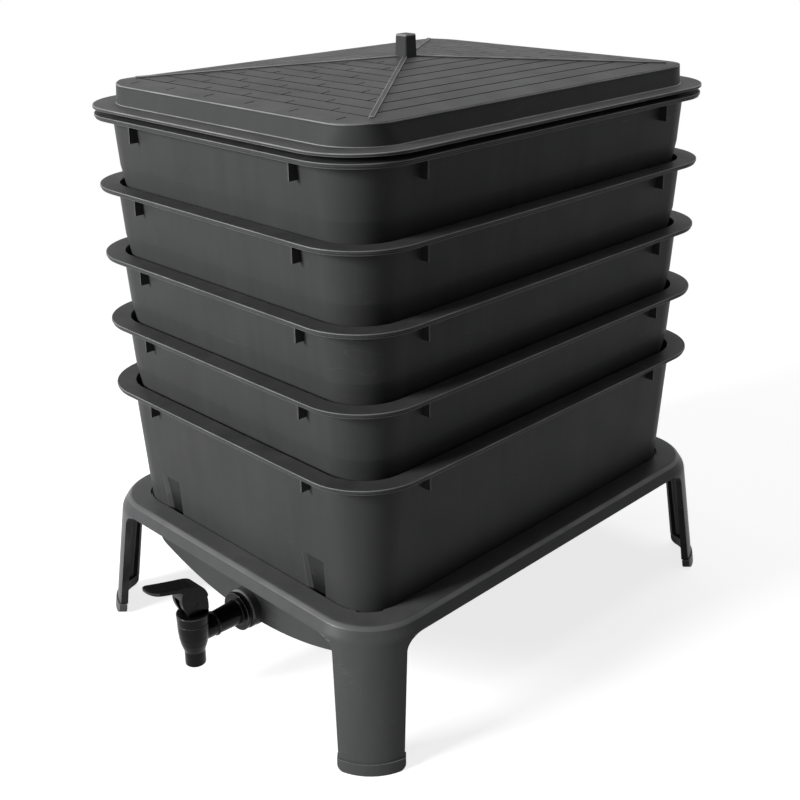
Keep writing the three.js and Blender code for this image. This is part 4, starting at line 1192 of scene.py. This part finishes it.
# %% The collar, with its seam and its plug
COLLAR_UP = BARREL_TOP + FIT
COLLAR_TOP = COLLAR_UP + 10.75
PLUG_LOW = 7.6
collar = turned("tap_cap", [
    (3.7, PLUG_LOW, 0.3), (6.1, PLUG_LOW, 0.3), (6.1, COLLAR_UP, 0), (9.5, COLLAR_UP, 0),
    (9.5, PLUG_LOW, 0.3), (12.2, PLUG_LOW, 0.4), (12.2, COLLAR_UP, 0.2), (16.25, COLLAR_UP, 0.7),
    (16.9, COLLAR_TOP, 1.1), (3.7, COLLAR_TOP, 0.4)], closed=True, **UPRIGHT)
dress(tidy(collar), TAP_PLASTIC, "tap_plastic", "stand_body", "tap_collar")

# %% The lever
# Outlines as shares of the lever's reach, forwards below zero, and of its rise.
HUB = [(-0.176, 0), (-0.15, 0), (0.25, 0), (0.276, 0), (0.279, 0.03), (0.281, 0.157), (0.262, 0.321),
       (0.215, 0.46), (0.093, 0.59), (-0.111, 0.64), (-0.27, 0.65), (-0.32, 0.54), (-0.32, 0.42),
       (-0.287, 0.26), (-0.213, 0.096), (-0.19, 0.03)]
PADDLE = [(0.262, 0.321), (0.225, 0.46), (0.15, 0.6), (0.02, 0.69), (-0.2, 0.75), (-0.472, 0.825),
          (-0.8, 0.925), (-1, 1), (-1.01, 0.95), (-0.852, 0.869), (-0.63, 0.791), (-0.389, 0.722),
          (-0.241, 0.638), (-0.074, 0.5), (0.074, 0.38)]
REACH, RISE, HUB_HALF, PADDLE_HALF = 54.0, 48.9, 8.5, 11.0
FORK = dict(half=3.9, back=5.0, up=23.0)
PIN = dict(axis="x", at=(0, AXIS, PIN_UP))
PIN_HOLE = 2.2
lever_foot = pipe_up + COLLAR_TOP


def flowing(outline, rounds=3):
    """A closed outline with its corners cut again and again, until it is a smooth curve."""
    for _ in range(rounds):
        ahead = outline[1:] + outline[:1]
        outline = [(a[0] + (b[0] - a[0]) * share, a[1] + (b[1] - a[1]) * share)
                   for a, b in zip(outline, ahead) for share in (0.25, 0.75)]
    return outline


def lever_block(name, shares, half):
    outline = [(AXIS + y * REACH, lever_foot + FIT + z * RISE) for y, z in flowing(shares)]
    return side_block(name, outline, -half, half)


lever = lever_block("tap_handle", PADDLE, PADDLE_HALF)
nose = arc(PADDLE_HALF, (math.pi * (1 + i / 32) for i in range(33)), 0, AXIS - REACH + PADDLE_HALF)
plan = [(-PADDLE_HALF, AXIS + 20), *nose, (PADDLE_HALF, AXIS + 20)]
within(lever, faced(skin("plan", [[(x, y, up) for x, y in plan] for up in (50, 200)])))
soften(tidy(lever, 0.05), 0.9, 4, angle=40)
join(lever, soften(lever_block("hub", HUB, HUB_HALF), 1.2, 4, angle=50))
fork_back = AXIS + 0.281 * REACH - FORK["back"]
gap = block("gap", (-FORK["half"], AXIS - 40, lever_foot - 1),
            (FORK["half"], fork_back, lever_foot + FORK["up"]))
cut(lever, soften(gap, 1.0, 3), drill("pin hole", PIN_HOLE, -12, 12, steps=48, **PIN))
dress(tidy(lever), TAP_PLASTIC, "tap_plastic", "tap_lever_body", "tap_lever")

# %% The rod with its round head, the cup and the pin
cup_low = CHAMBER_FLOOR + FIT
cup_floor, cup_top = cup_low + 2.3, cup_low + 4.5
rod_low, rod_top = cup_low + 4.5 - 2.2 + FIT, PIN_UP - pipe_up
rod = drum("lift_rod", 3.4, rod_low, rod_top, (0.4, 0), core=0.3, steps=48, **UPRIGHT)
join(rod, drum("eye", 5.0, -3.4, 3.4, (0.9, 0.9), core=0.3, steps=56, **PIN))
cut(rod, drill("eye hole", PIN_HOLE, -5, 5, steps=48, **PIN))
dress(tidy(rod), TAP_PLASTIC, "tap_plastic", "tap_stem_body", "tap_stem")
cup = turned("valve_cup", [
    (0.3, cup_low, 0), (8.5, cup_low, 0.9), (8.5, cup_low + 2.0, 0.4), (7.6, cup_low + 2.6, 0.6),
    (7.6, cup_top, 0.8), (3.7, cup_top, 0.4), (3.7, cup_floor, 0.3), (0.3, cup_floor, 0)], **UPRIGHT)
dress(cup, SEAL_RUBBER, "seal_rubber", "tap_stem_body", "tap_seal")
pin = drum("hinge_pin", 1.9, -8.2, 8.2, (0.45, 0.45), core=0.2, steps=40, **PIN)
dress(pin, TAP_PLASTIC, "tap_plastic", "tap_stem_body", "tap_lever_pin")

# %% Washers and the lock nut
SHANK_HOLE, NUT = 9.3, dict(across=16.0, round=16.1, face=14.6, chamfer=1.2)
WASHERS = (("boss_washer", "tap_outer_washer", 19.5), ("nut_washer", "tap_inner_washer", 16.0))

for name, node_name, outer in WASHERS:
    (_, low, _), (_, high, _) = corners_of(node_name)
    mid = (SHANK_HOLE + outer) / 2
    washer = turned(name, [
        (SHANK_HOLE, low, 0.5), (mid - 1.2, low, 0.2), (mid - 0.6, low + 0.4, 0.2),
        (mid + 0.6, low + 0.4, 0.2), (mid + 1.2, low, 0.2), (outer, low, 0.7), (outer, high, 0.7),
        (SHANK_HOLE, high, 0.5)], closed=True)
    dress(washer, SEAL_RUBBER, "seal_rubber", "stand_body", node_name)

(_, low, _), (_, high, _) = corners_of("tap_lock_nut")
hexagon = arc(NUT["across"], (math.pi / 3 * i for i in range(6)), 0, pipe_up)
nut = faced(skin("lock_nut", [[(x, y, up) for x, up in hexagon] for y in (low, high)]))
soften(nut, 0.5, 3, angle=50)
within(nut, turned("chamfer", [
    (1, low, 0), (NUT["face"], low, 0.3), (NUT["round"], low + NUT["chamfer"], 0.3),
    (NUT["round"], high - NUT["chamfer"], 0.3), (NUT["face"], high, 0.3), (1, high, 0)]))
cut(nut, drill("thread", SHANK_HOLE, low - 1, high + 1))
dress(tidy(nut), TAP_PLASTIC, "tap_plastic", "stand_body", "tap_lock_nut")

# %% [markdown]
# ## Floor, light and camera
# The floor is a pale disc that keeps the soft shadow and fades away with its distance, so
# no edge of it shows against the white. The white itself comes from the world, which the
# camera, mirrors and glass see at full strength while everything else gets a dim, even
# fill. The lamps alone light the plastic: a large soft one from the left, a weak one above.

# %% The floor
FLOOR = dict(radius=2.0, fades=(0.75, 1.35), paint=0.55, glow=0.79)


def rays_that_see(graph):
    """1 for the camera's, mirrors' and glass's rays, and 0 for rays that carry light."""
    path = graph.node("ShaderNodeLightPath").outputs
    return graph.calc("MAXIMUM", path["Is Camera Ray"],
                      graph.calc("MAXIMUM", path["Is Glossy Ray"], path["Is Transmission Ray"]))


studio, graph = new_material("studio_floor")
graph.tree.nodes.remove(graph.tree.nodes["Principled BSDF"])
away = graph.node("ShaderNodeVectorMath", {"operation": "LENGTH"}, _0=graph.place()).outputs["Value"]
paint = graph.out("ShaderNodeBsdfDiffuse", Color=grey(FLOOR["paint"]), Roughness=0.5)
glow = graph.out("ShaderNodeEmission", Strength=graph.times(rays_that_see(graph), FLOOR["glow"]))
lit = graph.out("ShaderNodeAddShader", _0=paint, _1=glow)
mixed = graph.out("ShaderNodeMixShader", _0=graph.spread(away, *FLOOR["fades"]), _1=lit,
                  _2=graph.out("ShaderNodeBsdfTransparent"))
graph.feed(graph.tree.nodes["Material Output"].inputs["Surface"], mixed)

floor_mesh = bpy.data.meshes.new("floor")
floor_edge = arc(FLOOR["radius"], (math.tau * i / 96 for i in range(96)))
floor_mesh.from_pydata([(x, y, 0.0) for x, y in floor_edge], [], [tuple(range(len(floor_edge)))])
floor_mesh.materials.append(studio)
floor = bpy.data.objects.new("floor", floor_mesh)
bpy.context.collection.objects.link(floor)
print("floor:", 2 * FLOOR["radius"], "m across")

# %% The world and the lamps
FILL = 0.065
world = bpy.data.worlds.new("studio")
bpy.context.scene.world = world
world.use_nodes = True
sky = Graph(world.node_tree)
background = sky.tree.nodes["Background"].inputs
sky.feed(background["Strength"], sky.spread(rays_that_see(sky), 0.0, 1.0, FILL, 1.0))
background["Color"].default_value = (1.0, 1.0, 1.0, 1.0)

for name, at, look, size, power in (("key", (-0.75, -2.65, 1.35), (0, 0, 0.3), 0.9, 92),
                                    ("top", (-0.15, 0.5, 2.6), (0, 0, 0.5), 1.4, 21)):
    data = bpy.data.lights.new(name, "AREA")
    data.shape, data.size, data.energy = "SQUARE", size, power
    lamp = bpy.data.objects.new(name, data)
    bpy.context.collection.objects.link(lamp)
    lamp.location = at
    lamp.rotation_euler = (Vector(look) - Vector(at)).to_track_quat("-Z", "Y").to_euler()
    print(name, "lamp:", power, "W")

# %% The camera
CAMERA = dict(at=(0.9207, -0.8878, 0.8013), turn=(45.21, 17.08, -0.78), shift=-0.17)
FOCAL, PICTURE = 1211.7, 800  # in pixels

camera = bpy.data.objects.new("camera", bpy.data.cameras.new("camera"))
bpy.context.collection.objects.link(camera)
bpy.context.scene.camera = camera
yaw, pitch, roll = (math.radians(degrees) for degrees in CAMERA["turn"])
ahead = Vector((-math.sin(yaw) * math.cos(pitch), math.cos(yaw) * math.cos(pitch), -math.sin(pitch)))
camera.location = CAMERA["at"]
level = ahead.to_track_quat("-Z", "Y").to_matrix()
camera.rotation_euler = (level @ Matrix.Rotation(roll, 3, "Z")).to_euler()
camera.data.lens = FOCAL * camera.data.sensor_width / PICTURE
camera.data.shift_y = CAMERA["shift"]
bpy.context.scene.view_settings.view_transform = "Standard"
print("camera: lens", round(camera.data.lens, 1), "mm")
